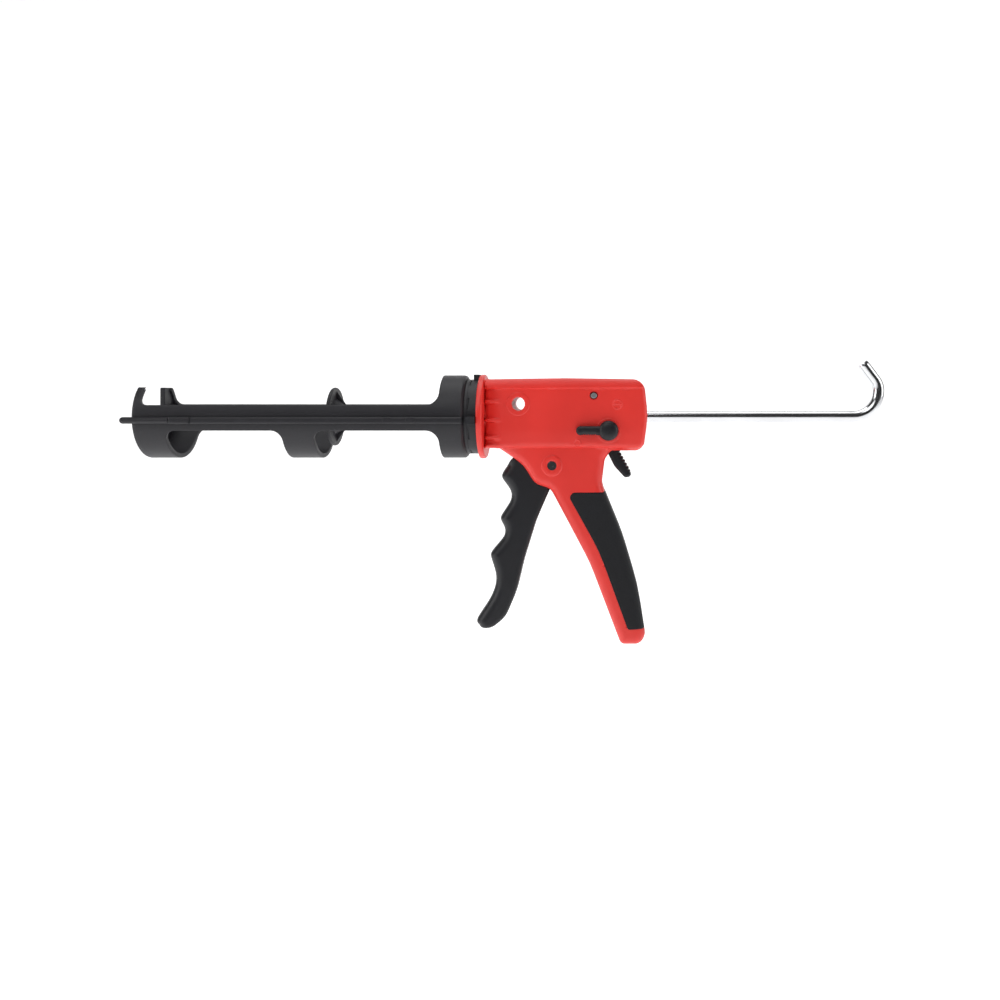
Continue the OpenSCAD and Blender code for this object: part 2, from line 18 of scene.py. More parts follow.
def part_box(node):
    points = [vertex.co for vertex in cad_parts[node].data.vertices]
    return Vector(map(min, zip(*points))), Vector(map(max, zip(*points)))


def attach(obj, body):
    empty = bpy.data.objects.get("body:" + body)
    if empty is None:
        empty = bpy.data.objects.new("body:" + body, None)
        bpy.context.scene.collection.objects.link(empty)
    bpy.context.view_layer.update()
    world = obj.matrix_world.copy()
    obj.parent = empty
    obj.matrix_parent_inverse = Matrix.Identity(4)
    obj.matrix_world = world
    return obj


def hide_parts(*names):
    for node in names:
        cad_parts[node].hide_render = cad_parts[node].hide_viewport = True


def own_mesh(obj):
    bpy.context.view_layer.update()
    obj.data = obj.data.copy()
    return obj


bl_info = {
    "name": "Caulking Gun",
    "version": (1, 0, 0),
    "blender": (4, 5, 0),
    "location": "View3D > Sidebar > Caulking Gun",
    "description": "Builds the visible shells, grip, cradle, rod and finishes of a hand caulking gun",
    "category": "Object",
}

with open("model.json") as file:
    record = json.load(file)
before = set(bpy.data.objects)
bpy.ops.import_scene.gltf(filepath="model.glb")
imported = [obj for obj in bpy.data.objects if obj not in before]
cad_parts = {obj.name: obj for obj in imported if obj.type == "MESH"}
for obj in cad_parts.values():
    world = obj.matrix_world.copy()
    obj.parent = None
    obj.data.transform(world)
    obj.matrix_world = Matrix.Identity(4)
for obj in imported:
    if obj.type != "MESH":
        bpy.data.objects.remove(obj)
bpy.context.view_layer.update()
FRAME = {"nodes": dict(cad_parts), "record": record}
MM = 0.001


def span(node):
    """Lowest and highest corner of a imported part, in millimetres."""
    low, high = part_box(node)
    return np.array(low) / MM, np.array(high) / MM


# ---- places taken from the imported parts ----

CRADLE_LOW = span("cradle")[0]
ROD_LOW = span("rod")[0]
DISC_LOW, DISC_HIGH = span("plunger")
LEVER_LOW = span("release_lever")[0]
DRIVE_LOW, DRIVE_HIGH = span("drive_spring")
BRAKE_LOW, BRAKE_HIGH = span("brake_spring")

ROD_NODES = [name for name in ("rod", "rod_hook") if name in FRAME["nodes"]]
PIVOT = (58.8, -33.3)
HANG = (36.0, 9.0)
STOP = (87.5, 14.7)
SELECTOR = (97.5, -9.1)
BODY_HW = 18.5
HAND_HW = 14.5
BORE_R = 21.0
NOSE_R = 23.0
FLANGE_X = (8.4, 12.6)
FLANGE_R = 29.3
HUB_ROOM_R = 12.5
BULKHEAD_X = (11.0, 24.0, 26.6)
RIB_Z = (-14.0, -2.0, 10.7)
RIB_END = 25.5
RIB_STEPS = (-1.6, -1.3, -1.0, -0.7, 0, 0.7, 1.0, 1.3, 1.6)
BUSH_R = 6.5
SLOT_HW = 9.3
TRIGGER_HW = 8.5
LEVER_GAP_HW = 6.3
GRIP_T = 1.8
SEAT_R = 25.6
CRADLE_R = 28.8
COLLAR_R = 25.9
COLLAR_BORE = 23.1
ROD_R = 4.0
SCREWS = [
    (45.0, 17.6), (107.5, 16.6), (31.4, -15.4), (77.0, -50.0), (98.4, -100.0), (111.19, -147.6),
]

# Corners of the side views: x, z and the radius of the corner, counter-clockwise
BODY = [
    (12.6, -21.3, 0), (121.2, -21.3, 5), (124.6, 0, 60), (121.8, 25.8, 9), (68, 26.6, 60), (12.6, 25.8, 1),
]
HANDLE = [
    (20.6, -21.3, 1), (21.6, -21.3, 5), (38.8, -33.0, 26), (46.8, -46.2, 11), (57.5, -49.4, 8),
    (84.6, -100.5, 120), (106, -156.6, 4),
    (119, -156.6, 7), (123.2, -150.6, 30), (118.2, -118, 150), (107.5, -82, 150), (92.9, -46.2, 14),
    (95, -29.3, 6), (99, -23.3, 4), (120, -23.3, 4), (120, 0, 1), (20.6, 0, 1),
]
SHELL = [
    (12.6, -21.3, 0), (21.6, -21.3, 5), (38.8, -33.0, 26), (46.8, -46.2, 11), (57.5, -49.4, 8),
    (84.6, -100.5, 120),
    (106, -156.6, 4), (119, -156.6, 7), (123.2, -150.6, 30), (118.2, -118, 150), (107.5, -82, 150),
    (92.9, -46.2, 14), (95, -29.3, 6), (99, -23.3, 4), (121.2, -23.3, 6.5), (124.6, 0, 60),
    (121.8, 25.8, 9), (68, 26.6, 60), (12.6, 25.8, 1),
]
PAD = [
    (68.8, -51.7, 3.6), (91.2, -92, 120), (110.8, -145.6, 2), (130, -144.8, 0), (130, -51.7, 0),
]
TRIGGER_SLOT = [
    (26.6, -25.4, 0.1), (66, -25.4, 0.1), (70, -46, 0.1), (70, -69, 0.1), (60, -76, 0.1), (14, -76, 0.1),
    (14, -34, 0.1),
]
LEVER_SLOT = [(90.5, -38, 0.1), (108, -38, 0.1), (108, -17.3, 0.1), (90.5, -17.3, 0.1)]
TRIGGER_FRONT = [
    (66.5, -38, 4), (64, -26.5, 6), (46, -26.5, 3), (31.5, -27.4, 3), (22.2, -41.4, 4), (32.2, -54.6, 9),
    (21.6, -70.6, 3.6), (27.4, -80.6, 9), (14.8, -95.4, 4), (20.2, -112, 40), (17, -124, 40),
    (4.2, -143.2, 4),
]
TRIGGER_BACK = [
    (9.5, -146.8, 3), (17, -146.4, 8), (26.5, -138.5, 16), (33.7, -121.5, 60), (38.6, -100.5, 80),
    (47.2, -72.5, 60), (57.6, -48.5, 30),
]
LEVER = [
    (93.6, -8, 2), (92.8, -12, 2), (97.2, -25.5, 6), (101.6, -34.4, 12), (109, -42.4, 2.4),
    (113.6, -41.6, 2.6),
    (112.8, -37, 6), (106.2, -25, 10), (102, -12, 3), (101, -8, 2),
]


# ---- flat outlines ----


def unit(v):
    """Each vector divided by its length."""
    return v / np.maximum(np.linalg.norm(v, axis=-1, keepdims=True), 1e-12)


def corner_arc(before, here, after, radius):
    """The arc of a radius that touches both edges of a corner, cut short where an edge is short."""
    u, v = unit(before - here), unit(after - here)
    half = np.arccos(np.clip(u @ v, -1, 1)) / 2
    reach = min(
        radius / np.tan(half), 0.48 * np.linalg.norm(before - here), 0.48 * np.linalg.norm(after - here)
    )
    turn, r = np.pi - 2 * half, reach * np.tan(half)
    if r < 0.05 or turn < 0.02:
        return here[None]
    centre = here + unit(u + v) * r / np.sin(half)
    t = np.linspace(0, 1, max(3, int(turn / 0.12) + 1))[:, None]
    return centre + (
        np.sin((1 - t) * turn) * (here + u * reach - centre) + np.sin(t * turn) * (here + v * reach - centre)
    ) / np.sin(turn)


def spread(line, gap, closed=True):
    """The same line with points added along its edges, so that none is longer than the gap."""
    ends = np.roll(line, -1, 0) if closed else line[1:]
    starts = line if closed else line[:-1]
    count = np.maximum(1, np.ceil(np.linalg.norm(ends - starts, axis=1) / gap - 1e-6)).astype(int)
    edge = np.repeat(np.arange(len(starts)), count)
    share = (np.arange(count.sum()) - np.repeat(np.cumsum(count) - count, count)) / count[edge]
    points = starts[edge] + share[:, None] * (ends - starts)[edge]
    return points if closed else np.vstack([points, line[-1]])


def turning(loop):
    """Twice the signed area of a loop: above 0 if it runs counter-clockwise."""
    ahead = np.roll(loop, -1, 0)
    return (loop[:, 0] * ahead[:, 1] - loop[:, 1] * ahead[:, 0]).sum()


def rounded(corners, gap=0.9):
    """A closed counter-clockwise outline: each corner is an arc of its radius, with straight edges
    between."""
    c = np.array(corners, float)
    arcs = [
        corner_arc(c[i - 1, :2], c[i, :2], c[(i + 1) % len(c), :2], c[i, 2]) for i in range(len(c))
    ]
    loop = spread(np.vstack(arcs), gap)
    return loop if turning(loop) > 0 else loop[::-1]


def softened(loop, width):
    """A closed outline averaged along its own length, with weights that fall off as a bell curve of a
    width."""
    line = spread(loop, 0.4)
    step = np.linalg.norm(np.roll(line, -1, 0) - line, axis=1).mean()
    reach = int(3 * width / step)
    shifts = np.arange(-reach, reach + 1)
    weights = np.exp(-0.5 * (shifts * step / width) ** 2)
    mean = sum(w * np.roll(line, -k, 0) for w, k in zip(weights, shifts)) / weights.sum()
    return mean[::2]


def ring(centre, radius, steps=32):
    """A circle, as a closed loop."""
    a = np.linspace(0, 2 * np.pi, steps, endpoint=False)
    return np.array(centre) + radius * np.column_stack([np.cos(a), np.sin(a)])


def by_blocks(work, points, size=1500):
    """A function of points, worked out a block at a time to save memory."""
    return np.concatenate([work(points[i : i + size]) for i in range(0, len(points), size)])


def inside(points, *loops):
    """True where a ray from the point crosses the loops an odd number of times."""

    def work(p):
        odd = np.zeros(len(p), bool)
        for a in loops:
            b = np.roll(a, -1, 0)
            over = (a[:, 1] > p[:, 1:]) != (b[:, 1] > p[:, 1:])
            rise = np.where(a[:, 1] == b[:, 1], 1.0, b[:, 1] - a[:, 1])
            cross = a[:, 0] + (p[:, 1:] - a[:, 1]) * (b[:, 0] - a[:, 0]) / rise
            odd ^= (over & (p[:, :1] < cross)).sum(1) % 2 == 1
        return odd

    return by_blocks(work, points)


def away(points, line, closed=True):
    """Distance from each point to the nearest edge of a line."""
    ends = np.roll(line, -1, 0) if closed else line[1:]
    starts = line if closed else line[:-1]
    edge = ends - starts
    long2 = np.maximum((edge**2).sum(1), 1e-12)

    def work(p):
        rel = p[:, None] - starts
        t = np.clip((rel * edge).sum(2) / long2, 0, 1)
        return np.sqrt(((rel - t[..., None] * edge) ** 2).sum(2).min(1))

    return by_blocks(work, points, 1000)


def depth(points, loop):
    """Signed distance into a loop: above 0 inside it."""
    return np.where(inside(points, loop), 1, -1) * away(points, loop)


def from_gap(line):
    """The points of an open line, turned round so that they start after its widest gap."""
    return np.roll(line, -int(np.argmax(np.linalg.norm(line - np.roll(line, 1, 0), axis=1))), 0)


def inward(loop):
    """Unit normals that point into a counter-clockwise loop, one at each of its points."""
    along = unit(np.roll(loop, -1, 0) - loop)
    mean = unit(along + np.roll(along, 1, 0))
    return np.column_stack([-mean[:, 1], mean[:, 0]])


def smooth(low, high, x):
    """0 below low, 1 above high, and an S curve between."""
    t = np.clip((x - low) / (high - low), 0, 1)
    return t * t * (3 - 2 * t)


def edge_drop(d, reach, fall):
    """How far a surface has dropped at a distance d from its edge: a quarter ellipse, reach wide and fall
    deep."""
    t = 1 - np.clip(d / reach, 0, 1)
    return fall * (1 - np.sqrt(np.maximum(0, 1 - t * t)))


# ---- solids ----


def flat_plan(outline, holes=(), gap=1.5, bands=(0.12, 0.45, 1.0), extra=()):
    """Triangles that fill an outline with holes: a grid of points inside, lines of points along every
    edge, and the extra points, joined by a Delaunay mesh that keeps the edges. Gives the points,
    triangles and free edges."""
    loops = [outline, *[hole if turning(hole) < 0 else hole[::-1] for hole in holes]]
    lines = [loop + inward(loop) * d for loop in loops for d in bands]
    wants = [np.full(len(loop), d * 0.93) for loop in loops for d in bands]
    low, high = outline.min(0), outline.max(0)
    x, z = (np.arange(low[i] + gap / 2, high[i], gap) for i in (0, 1))
    grid = np.stack(np.meshgrid(x, z, indexing="ij"), -1).reshape(-1, 2)
    if len(extra):
        grid = grid[near_points(grid, np.vstack(extra)) > gap * 0.35]
    points = np.vstack([*lines, grid, *extra])
    least = np.concatenate(
        [*wants, np.full(len(grid), bands[-1] + gap * 0.3), *[np.full(len(e), 0.08) for e in extra]]
    )
    keep = inside(points, *loops)
    points, least = points[keep], least[keep]
    gaps = np.min([away(points, loop) for loop in loops], 0)
    points = points[gaps >= least]
    points = points[np.unique(np.round(points / 0.02).astype(int), axis=0, return_index=True)[1]]
    rims = np.vstack(loops)
    start = np.cumsum([0] + [len(loop) for loop in loops])
    edges = np.vstack(
        [
            np.column_stack([np.arange(len(p)), np.roll(np.arange(len(p)), -1)]) + s
            for p, s in zip(loops, start)
        ]
    )
    made = delaunay_2d_cdt(
        list(map(Vector, np.vstack([rims, points]).tolist())), edges.tolist(), [], 0, 1e-5
    )
    points = np.array([tuple(v) for v in made[0]])
    tris = np.array(made[2])
    tris = tris[inside(points[tris].mean(1), *loops)]
    a, b, c = (points[tris[:, i]] for i in range(3))
    back = np.cross(b - a, c - a) < 0
    tris[back] = tris[back][:, ::-1]
    pairs = np.vstack([tris[:, [0, 1]], tris[:, [1, 2]], tris[:, [2, 0]]])
    code = pairs[:, 0] * len(points) + pairs[:, 1]
    free = pairs[~np.isin(code, pairs[:, 1] * len(points) + pairs[:, 0])]
    return points, tris, free


def near_points(points, others):
    """Distance from each point to the nearest of the others."""
    return by_blocks(lambda p: np.sqrt(((p[:, None] - others) ** 2).sum(2).min(1)), points, 400)


def outwards(verts, faces):
    """The faces turned over if they enclose a negative volume."""
    total = 0.0
    for f in faces:
        a = verts[f[:, 0]]
        for k in range(1, f.shape[1] - 1):
            total += np.einsum("ij,ij->", a, np.cross(verts[f[:, k]], verts[f[:, k + 1]]))
    return (verts, faces if total > 0 else [f[:, ::-1] for f in faces])


def plate(plan, top, bottom, place, lip=0.0, lip_in=0.0, skip_wall=None, skip_bottom=None):
    """A solid between two sheets over one plan: top and bottom are heights at the plan's points, and
    walls join them along every free edge. A lip turns the foot of the wall in, which leaves a fine groove
    at a parting plane."""
    points, tris, free = plan
    n = len(points)
    low = points.copy()
    rim = np.unique(free)
    lift = np.zeros(len(rim))
    if lip_in:
        along = unit(points[free[:, 1]] - points[free[:, 0]])
        normal = np.zeros_like(points)
        for k in (0, 1):
            np.add.at(normal, free[:, k], np.column_stack([-along[:, 1], along[:, 0]]))
        low[rim] += unit(normal[rim]) * lip_in
        lift = np.minimum(lip, (top - bottom)[rim] * 0.4)
    verts = np.vstack([place(points, top), place(low, bottom), place(points[rim], bottom[rim] + lift)])
    mid = np.zeros(n, int)
    mid[rim] = 2 * n + np.arange(len(rim))
    a, b = free.T
    if skip_wall is not None:
        keep = ~skip_wall(points[free].mean(1))
        a, b = a[keep], b[keep]
    under = tris[:, ::-1] + n
    if skip_bottom is not None:
        under = under[~skip_bottom[tris].all(1)]
    if lip_in:
        walls = [np.column_stack([b, a, mid[a], mid[b]]), np.column_stack([mid[b], mid[a], a + n, b + n])]
    else:
        walls = [np.column_stack([b, a, a + n, b + n])]
    return outwards(verts, [tris, under, *walls])


def both_sides(plan, top, place):
    """A solid with the same sheet on both sides of the middle plane, joined by a wall along every free
    edge."""
    points, tris, free = plan
    n = len(points)
    verts = np.vstack([place(points, top), place(points, -top)])
    a, b = free.T
    return outwards(verts, [tris, tris[:, ::-1] + n, np.column_stack([b, a, a + n, b + n])])


def on_side(side):
    """Places a plan of the side view at a distance out from the middle plane, on one side."""
    return lambda p, h: np.column_stack([p[:, 0], side * h, p[:, 1]])


def sheet_faces(rows, columns, wrap_rows, wrap_columns):
    """The four-sided faces between neighbours of a grid of points."""
    i = np.arange(rows if wrap_rows else rows - 1)[:, None]
    j = np.arange(columns if wrap_columns else columns - 1)
    i2, j2 = (i + 1) % rows, (j + 1) % columns
    corners = [i * columns + j, i * columns + j2, i2 * columns + j2, i2 * columns + j]
    return np.stack(corners, -1).reshape(-1, 4)


def turned(profile, place, closed=True, steps=96, start=0.0, sweep=2 * np.pi):
    """A profile of (along, radius) turned about its axis. A part turn is closed at both ends by the
    profile's face."""
    whole = sweep > 2 * np.pi - 1e-6
    a = start + np.linspace(0, sweep, steps, endpoint=not whole)
    along = np.broadcast_to(profile[:, 0], (len(a), len(profile)))
    verts = place(
        along.ravel(),
        (profile[:, 1] * np.cos(a)[:, None]).ravel(),
        (profile[:, 1] * np.sin(a)[:, None]).ravel(),
    )
    faces = [sheet_faces(len(a), len(profile), whole, closed)]
    if not whole:
        first = np.arange(len(profile))[None]
        faces += [first, (first + (len(a) - 1) * len(profile))[:, ::-1]]
    return outwards(verts, faces)


def about_x(along, p, q):
    """Places a turned profile about the rod's axis."""
    return np.column_stack([along, p, q])


def about_y(at, side=1):
    """Places a turned profile about an axis across the gun, through a point of the side view."""
    return lambda along, p, q: np.column_stack([at[0] + p, side * along, at[1] + q])


def tube(path, radius, across, sides=28):
    """A ring carried along a path: at each point it stands square to the path, with one of its axes along
    across. Also gives a map of the surface: metres along the path, and turns round it."""
    ahead = unit(np.gradient(path, axis=0))
    second = unit(np.cross(ahead, across))
    first = np.cross(second, ahead)
    a = np.linspace(0, 2 * np.pi, sides, endpoint=False)
    circle = np.cos(a)[None, :, None] * first[:, None] + np.sin(a)[None, :, None] * second[:, None]
    verts = (path[:, None] + np.asarray(radius)[:, None, None] * circle).reshape(-1, 3)
    length = np.concatenate([[0], np.cumsum(np.linalg.norm(np.diff(path, axis=0), axis=1))]) * MM
    faces = sheet_faces(len(path), sides, False, True)
    i, j = np.meshgrid(np.arange(len(path) - 1), np.arange(sides), indexing="ij")
    u = np.stack([length[i], length[i], length[i + 1], length[i + 1]], -1)
    v = np.stack([j, j + 1, j + 1, j], -1) / sides
    return *outwards(verts, [faces]), np.stack([u, v], -1).reshape(-1, 2)


def make(name, parts, body, slot, nodes=(), sharp=35.0, uv=None):
    """One object from solids in millimetres: joined, doubles merged, shaded smooth except at sharp edges."""
    verts = np.vstack([p[0] for p in parts]) * MM
    start = np.cumsum([0] + [len(p[0]) for p in parts])
    faces = [row for p, s in zip(parts, start) for f in p[1] for row in (f + s).tolist()]
    mesh = bpy.data.meshes.new(name)
    mesh.from_pydata(verts, [], faces)
    if uv is not None:
        layer = mesh.uv_layers.new(name="drawn")
        layer.data.foreach_set("uv", uv.ravel())
    b = bmesh.new()
    b.from_mesh(mesh)
    bmesh.ops.remove_doubles(b, verts=b.verts, dist=2e-6)
    bmesh.ops.dissolve_degenerate(b, edges=b.edges, dist=1e-7)
    b.to_mesh(mesh)
    b.free()
    mesh.shade_smooth()
    mesh.set_sharp_from_angle(angle=np.radians(sharp))
    mesh.materials.append(finish(slot))
    piece = bpy.data.objects.new(name, mesh)
    bpy.context.scene.collection.objects.link(piece)
    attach(piece, body)
    if nodes:
        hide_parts(*nodes)
    return piece


# ---- shader maths ----


def plug(tree, socket, value):
    """Puts a number, a colour or another node's output into a socket."""
    if isinstance(value, Number):
        tree.links.new(value.socket, socket)
    elif isinstance(value, bpy.types.NodeSocket):
        tree.links.new(value, socket)
    else:
        socket.default_value = value


class Number:
    """An output socket that takes part in sums written as Python expressions."""

    def __init__(self, tree, socket):
        self.tree = tree
        self.socket = socket

    def maths(self, operation, first, second=0.0):
        node = self.tree.nodes.new("ShaderNodeMath")
        node.operation = operation
        plug(self.tree, node.inputs[0], first)
        plug(self.tree, node.inputs[1], second)
        return Number(self.tree, node.outputs[0])

    def __add__(self, other):
        return self.maths("ADD", self, other)

    def __radd__(self, other):
        return self.maths("ADD", other, self)

    def __sub__(self, other):
        return self.maths("SUBTRACT", self, other)

    def __rsub__(self, other):
        return self.maths("SUBTRACT", other, self)

    def __mul__(self, other):
        return self.maths("MULTIPLY", self, other)

    def __rmul__(self, other):
        return self.maths("MULTIPLY", other, self)

    def __pow__(self, other):
        return self.maths("POWER", self, other)


class Finish:
    """A material, its principled shader and the nodes that feed it."""

    def __init__(self, name, **constants):
        self.material = bpy.data.materials.new(name)
        self.material.use_nodes = True
        self.tree = self.material.node_tree
        self.shader = self.tree.nodes["Principled BSDF"]
        for socket, value in constants.items():
            self.shader.inputs[socket.replace("_", " ")].default_value = value

    def node(self, kind, settings=None, sockets=None):
        """Adds a node of a type: its settings are set first, then the values or links of its sockets."""
        node = self.tree.nodes.new(kind)
        for key, value in (settings or {}).items():
            setattr(node, key, value)
        for key, value in (sockets or {}).items():
            plug(self.tree, node.inputs[key], value)
        return node

    def place(self, scale=(1, 1, 1), uv=None):
        """Object coordinates, or the piece's own map, stretched by a scale."""
        if uv:
            source = self.node("ShaderNodeUVMap", {"uv_map": uv}).outputs["UV"]
        else:
            source = self.node("ShaderNodeTexCoord").outputs["Object"]
        return self.node("ShaderNodeMapping", sockets={"Vector": source, "Scale": scale}).outputs["Vector"]

    def noise(self, scale, detail=2.0, where=None, rough=0.5):
        """Soft noise from 0 to 1, with scale lumps to the metre."""
        sockets = {"Vector": where or self.place(), "Scale": scale, "Detail": detail, "Roughness": rough}
        return Number(self.tree, self.node("ShaderNodeTexNoise", sockets=sockets).outputs["Fac"])

    def band(self, value, low, high, first=0.0, last=1.0):
        """A number carried over from one span to another, and held at its ends."""
        sockets = {"Value": value, "From Min": low, "From Max": high, "To Min": first, "To Max": last}
        return Number(self.tree, self.node("ShaderNodeMapRange", sockets=sockets).outputs["Result"])

    def blend(self, share, first, second):
        """A colour between two others."""
        node = self.node(
            "ShaderNodeMix", {"data_type": "RGBA"}, {0: share, 6: (*first, 1.0), 7: (*second, 1.0)}
        )
        return node.outputs[2]

    def feed(self, **values):
        """Links what varies over the surface to the shader's sockets."""
        for socket, value in values.items():
            plug(self.tree, self.shader.inputs[socket.replace("_", " ")], value)

    def bumps(self, height, distance, strength=1.0):
        """Turns a height in units of the distance, in metres, into the shader's normal."""
        node = self.node(
            "ShaderNodeBump", sockets={"Height": height, "Distance": distance, "Strength": strength}
        )
        self.feed(Normal=node.outputs["Normal"])


def shade(colour, factor):
    """A colour made lighter or darker."""
    return tuple(min(1.0, c * factor) for c in colour)


FINISHES = {}


def finish(name):
    """One of the finishes, made when it is first wanted."""
    if name not in FINISHES:
        FINISHES[name] = MAKERS[name](bpy.context.scene.gun_finish).material
    return FINISHES[name]


def red_plastic(look):
    """Glossy moulded plastic: slight flow marks in its colour, fine grain, and duller rubbed patches."""
    f = Finish("red_plastic", IOR=1.5, Specular_IOR_Level=0.45)
    flow = f.noise(26.0, 3.0, f.place((1.0, 1.4, 0.5)))
    grain = f.noise(2600.0, 2.0)
    rub = f.band(f.noise(55.0, 5.0), 0.52, 0.72)
    f.feed(
        Base_Color=f.blend(f.band(flow, 0.3, 0.7), shade(look.red, 0.93), shade(look.red, 1.06)),
        Roughness=0.34 + 0.06 * flow + 0.07 * rub + 0.04 * grain,
    )
    f.bumps(grain + 1.5 * f.noise(240.0, 2.0), 0.000012 * look.grain)
    return f


def black_plastic(look):
    """Glass-filled moulding: satin, with pale fibre flecks, flow streaks along its length and rubbed
    edges."""
    f = Finish("black_plastic", IOR=1.5, Specular_IOR_Level=0.37)
    flow = f.noise(60.0, 4.0, f.place((0.25, 1.0, 1.0)))
    fleck = f.band(f.noise(1500.0, 1.0, f.place((0.4, 1.0, 1.0))), 0.62, 0.74)
    scuff = f.band(f.noise(120.0, 6.0, f.place((0.5, 1.0, 1.0)), 0.65), 0.56, 0.75)
    f.feed(
        Base_Color=f.blend(0.22 * fleck + 0.3 * scuff, look.black, shade(look.black, 2.6)),
        Roughness=0.44 + 0.12 * flow + 0.08 * scuff,
    )
    f.bumps(f.noise(1800.0, 3.0) + 0.6 * fleck, 0.00002 * look.grain)
    return f


def trigger_plastic(look):
    """Satin moulded plastic with a fine spark-eroded grain and finger polish."""
    f = Finish("trigger_plastic", IOR=1.5, Specular_IOR_Level=0.38)
    polish = f.band(f.noise(38.0, 3.0), 0.4, 0.68)
    grain = f.noise(1700.0, 3.0)
    f.feed(
        Base_Color=f.blend(polish, look.trigger, shade(look.trigger, 1.3)),
        Roughness=0.42 - 0.08 * polish + 0.1 * grain,
    )
    f.bumps(grain, 0.00003 * look.grain)
    return f


def grip_rubber(look):
    """Soft matte rubber: pebbled grain, dust in the hollows and a slightly polished swell."""
    f = Finish("grip_rubber", IOR=1.5, Specular_IOR_Level=0.28, Sheen_Weight=0.1, Sheen_Roughness=0.5)
    pebble = f.node(
        "ShaderNodeTexVoronoi", {"feature": "SMOOTH_F1"}, {"Vector": f.place(), "Scale": 950.0}
    ).outputs["Distance"]
    pebble = Number(f.tree, pebble)
    dust = f.band(f.noise(70.0, 5.0), 0.5, 0.75)
    f.feed(
        Base_Color=f.blend(0.6 * dust, look.rubber, shade(look.rubber, 1.9)),
        Roughness=0.66 + 0.14 * dust + 0.1 * pebble,
    )
    f.bumps(1 - pebble, 0.00006 * look.grain)
    return f


def bright_steel(look):
    """Plated drawn bar: streaks along its length, a faint cloud in the plating and rub marks from the
    plates."""
    f = Finish("bright_steel", Metallic=1.0)
    streak = f.noise(1.0, 3.0, f.place((22.0, 150.0, 1.0), "drawn"), 0.6)
    cloud = f.noise(30.0, 3.0)
    f.feed(
        Base_Color=f.blend(f.band(cloud, 0.35, 0.7), shade(look.steel, 0.94), shade(look.steel, 1.06)),
        Roughness=0.13 + 0.16 * streak * cloud,
    )
    f.bumps(streak, 0.000016)
    return f


def spring_steel(look):
    """Brushed bright steel for clips, pins, screws and springs."""
    f = Finish("spring_steel", Metallic=1.0)
    brush = f.noise(900.0, 3.0, f.place((0.3, 1.0, 1.0)))
    f.feed(
        Base_Color=f.blend(brush, shade(look.steel, 0.68), shade(look.steel, 0.9)),
        Roughness=0.24 + 0.16 * brush,
    )
    f.bumps(brush, 0.00001)
    return f


def plate_steel(look):
    """Hardened stamped plate: mottled grey with straw-coloured heat marks."""
    f = Finish("plate_steel", Metallic=1.0)
    mottle = f.noise(220.0, 5.0)
    f.feed(
        Base_Color=f.blend(f.band(mottle, 0.35, 0.65), (0.3, 0.3, 0.31), (0.46, 0.41, 0.34)),
        Roughness=0.32 + 0.2 * mottle,
    )
    f.bumps(f.noise(1400.0, 3.0), 0.000015)
    return f


def dark_steel(look):
    """Blackened steel, worn a little bright."""
    f = Finish("dark_steel", Metallic=0.7)
    worn = f.band(f.noise(420.0, 5.0), 0.58, 0.75)
    f.feed(
        Base_Color=f.blend(0.5 * worn, (0.035, 0.035, 0.038), (0.25, 0.25, 0.25)),
        Roughness=0.46 - 0.12 * worn,
    )
    f.bumps(f.noise(1600.0, 2.0), 0.00001)
    return f


def bush_plastic(look):
    """Natural bearing plastic, waxy and faintly clouded."""
    f = Finish("bush_plastic", Subsurface_Weight=0.08)
    cloud = f.noise(160.0, 3.0)
    f.feed(
        Base_Color=f.blend(cloud, (0.56, 0.51, 0.4), (0.68, 0.63, 0.52)),
        Roughness=0.42 + 0.12 * cloud,
    )
    f.bumps(f.noise(1200.0, 2.0), 0.000012)
    return f


def studio_white(look):
    """Pale painted sweep with a very faint roller texture."""
    f = Finish("studio_white", Specular_IOR_Level=0.0, Emission_Color=(1, 1, 1, 1), Emission_Strength=0.72)
    paint = f.noise(6.0, 3.0)
    f.feed(Base_Color=f.blend(paint, (0.93, 0.93, 0.93), (0.96, 0.96, 0.96)), Roughness=0.9 + 0.05 * paint)
    return f


MAKERS = {
    maker.__name__: maker
    for maker in (
        red_plastic, black_plastic, trigger_plastic, grip_rubber, bright_steel, spring_steel, plate_steel,
        dark_steel, bush_plastic, studio_white,
    )
}


# ---- user settings ----


def size(name, about, value, low, high):
    """A size in millimetres, or a plain number, with its limits."""
    return FloatProperty(name=name, description=about, default=value, min=low, max=high)


def tint(name, about, value):
    """A colour."""
    return FloatVectorProperty(name=name, description=about, default=value, size=3, subtype="COLOR")


class GunShape(bpy.types.PropertyGroup):
    """Sizes of the visible mouldings."""

    pocket: size("Flange pockets", "Depth of the pockets behind the flange", 3.4, 0.5, 4.5)
    body_edge: size("Body edge", "Rounding of the upper body's edges", 3.0, 1.0, 4.0)
    handle_edge: size("Handle edge", "Rounding of the handle's edges", 5.5, 2.0, 7.0)
    trigger_edge: size("Trigger edge", "Rounding of the trigger's front", 6.6, 2.0, 7.5)
    strip_step: size("Top strip", "How far the top strip stands proud of the sides", 1.0, 0.2, 1.5)
    groove: size("Parting groove", "Depth of the groove where the two shells meet", 0.3, 0.1, 0.8)
    wall: size("Shell wall", "Wall of the shells", 2.6, 2.0, 3.0)
    turns: IntProperty(name="Drive spring turns", description="Turns of the drive spring", default=6, min=4,
        max=9)


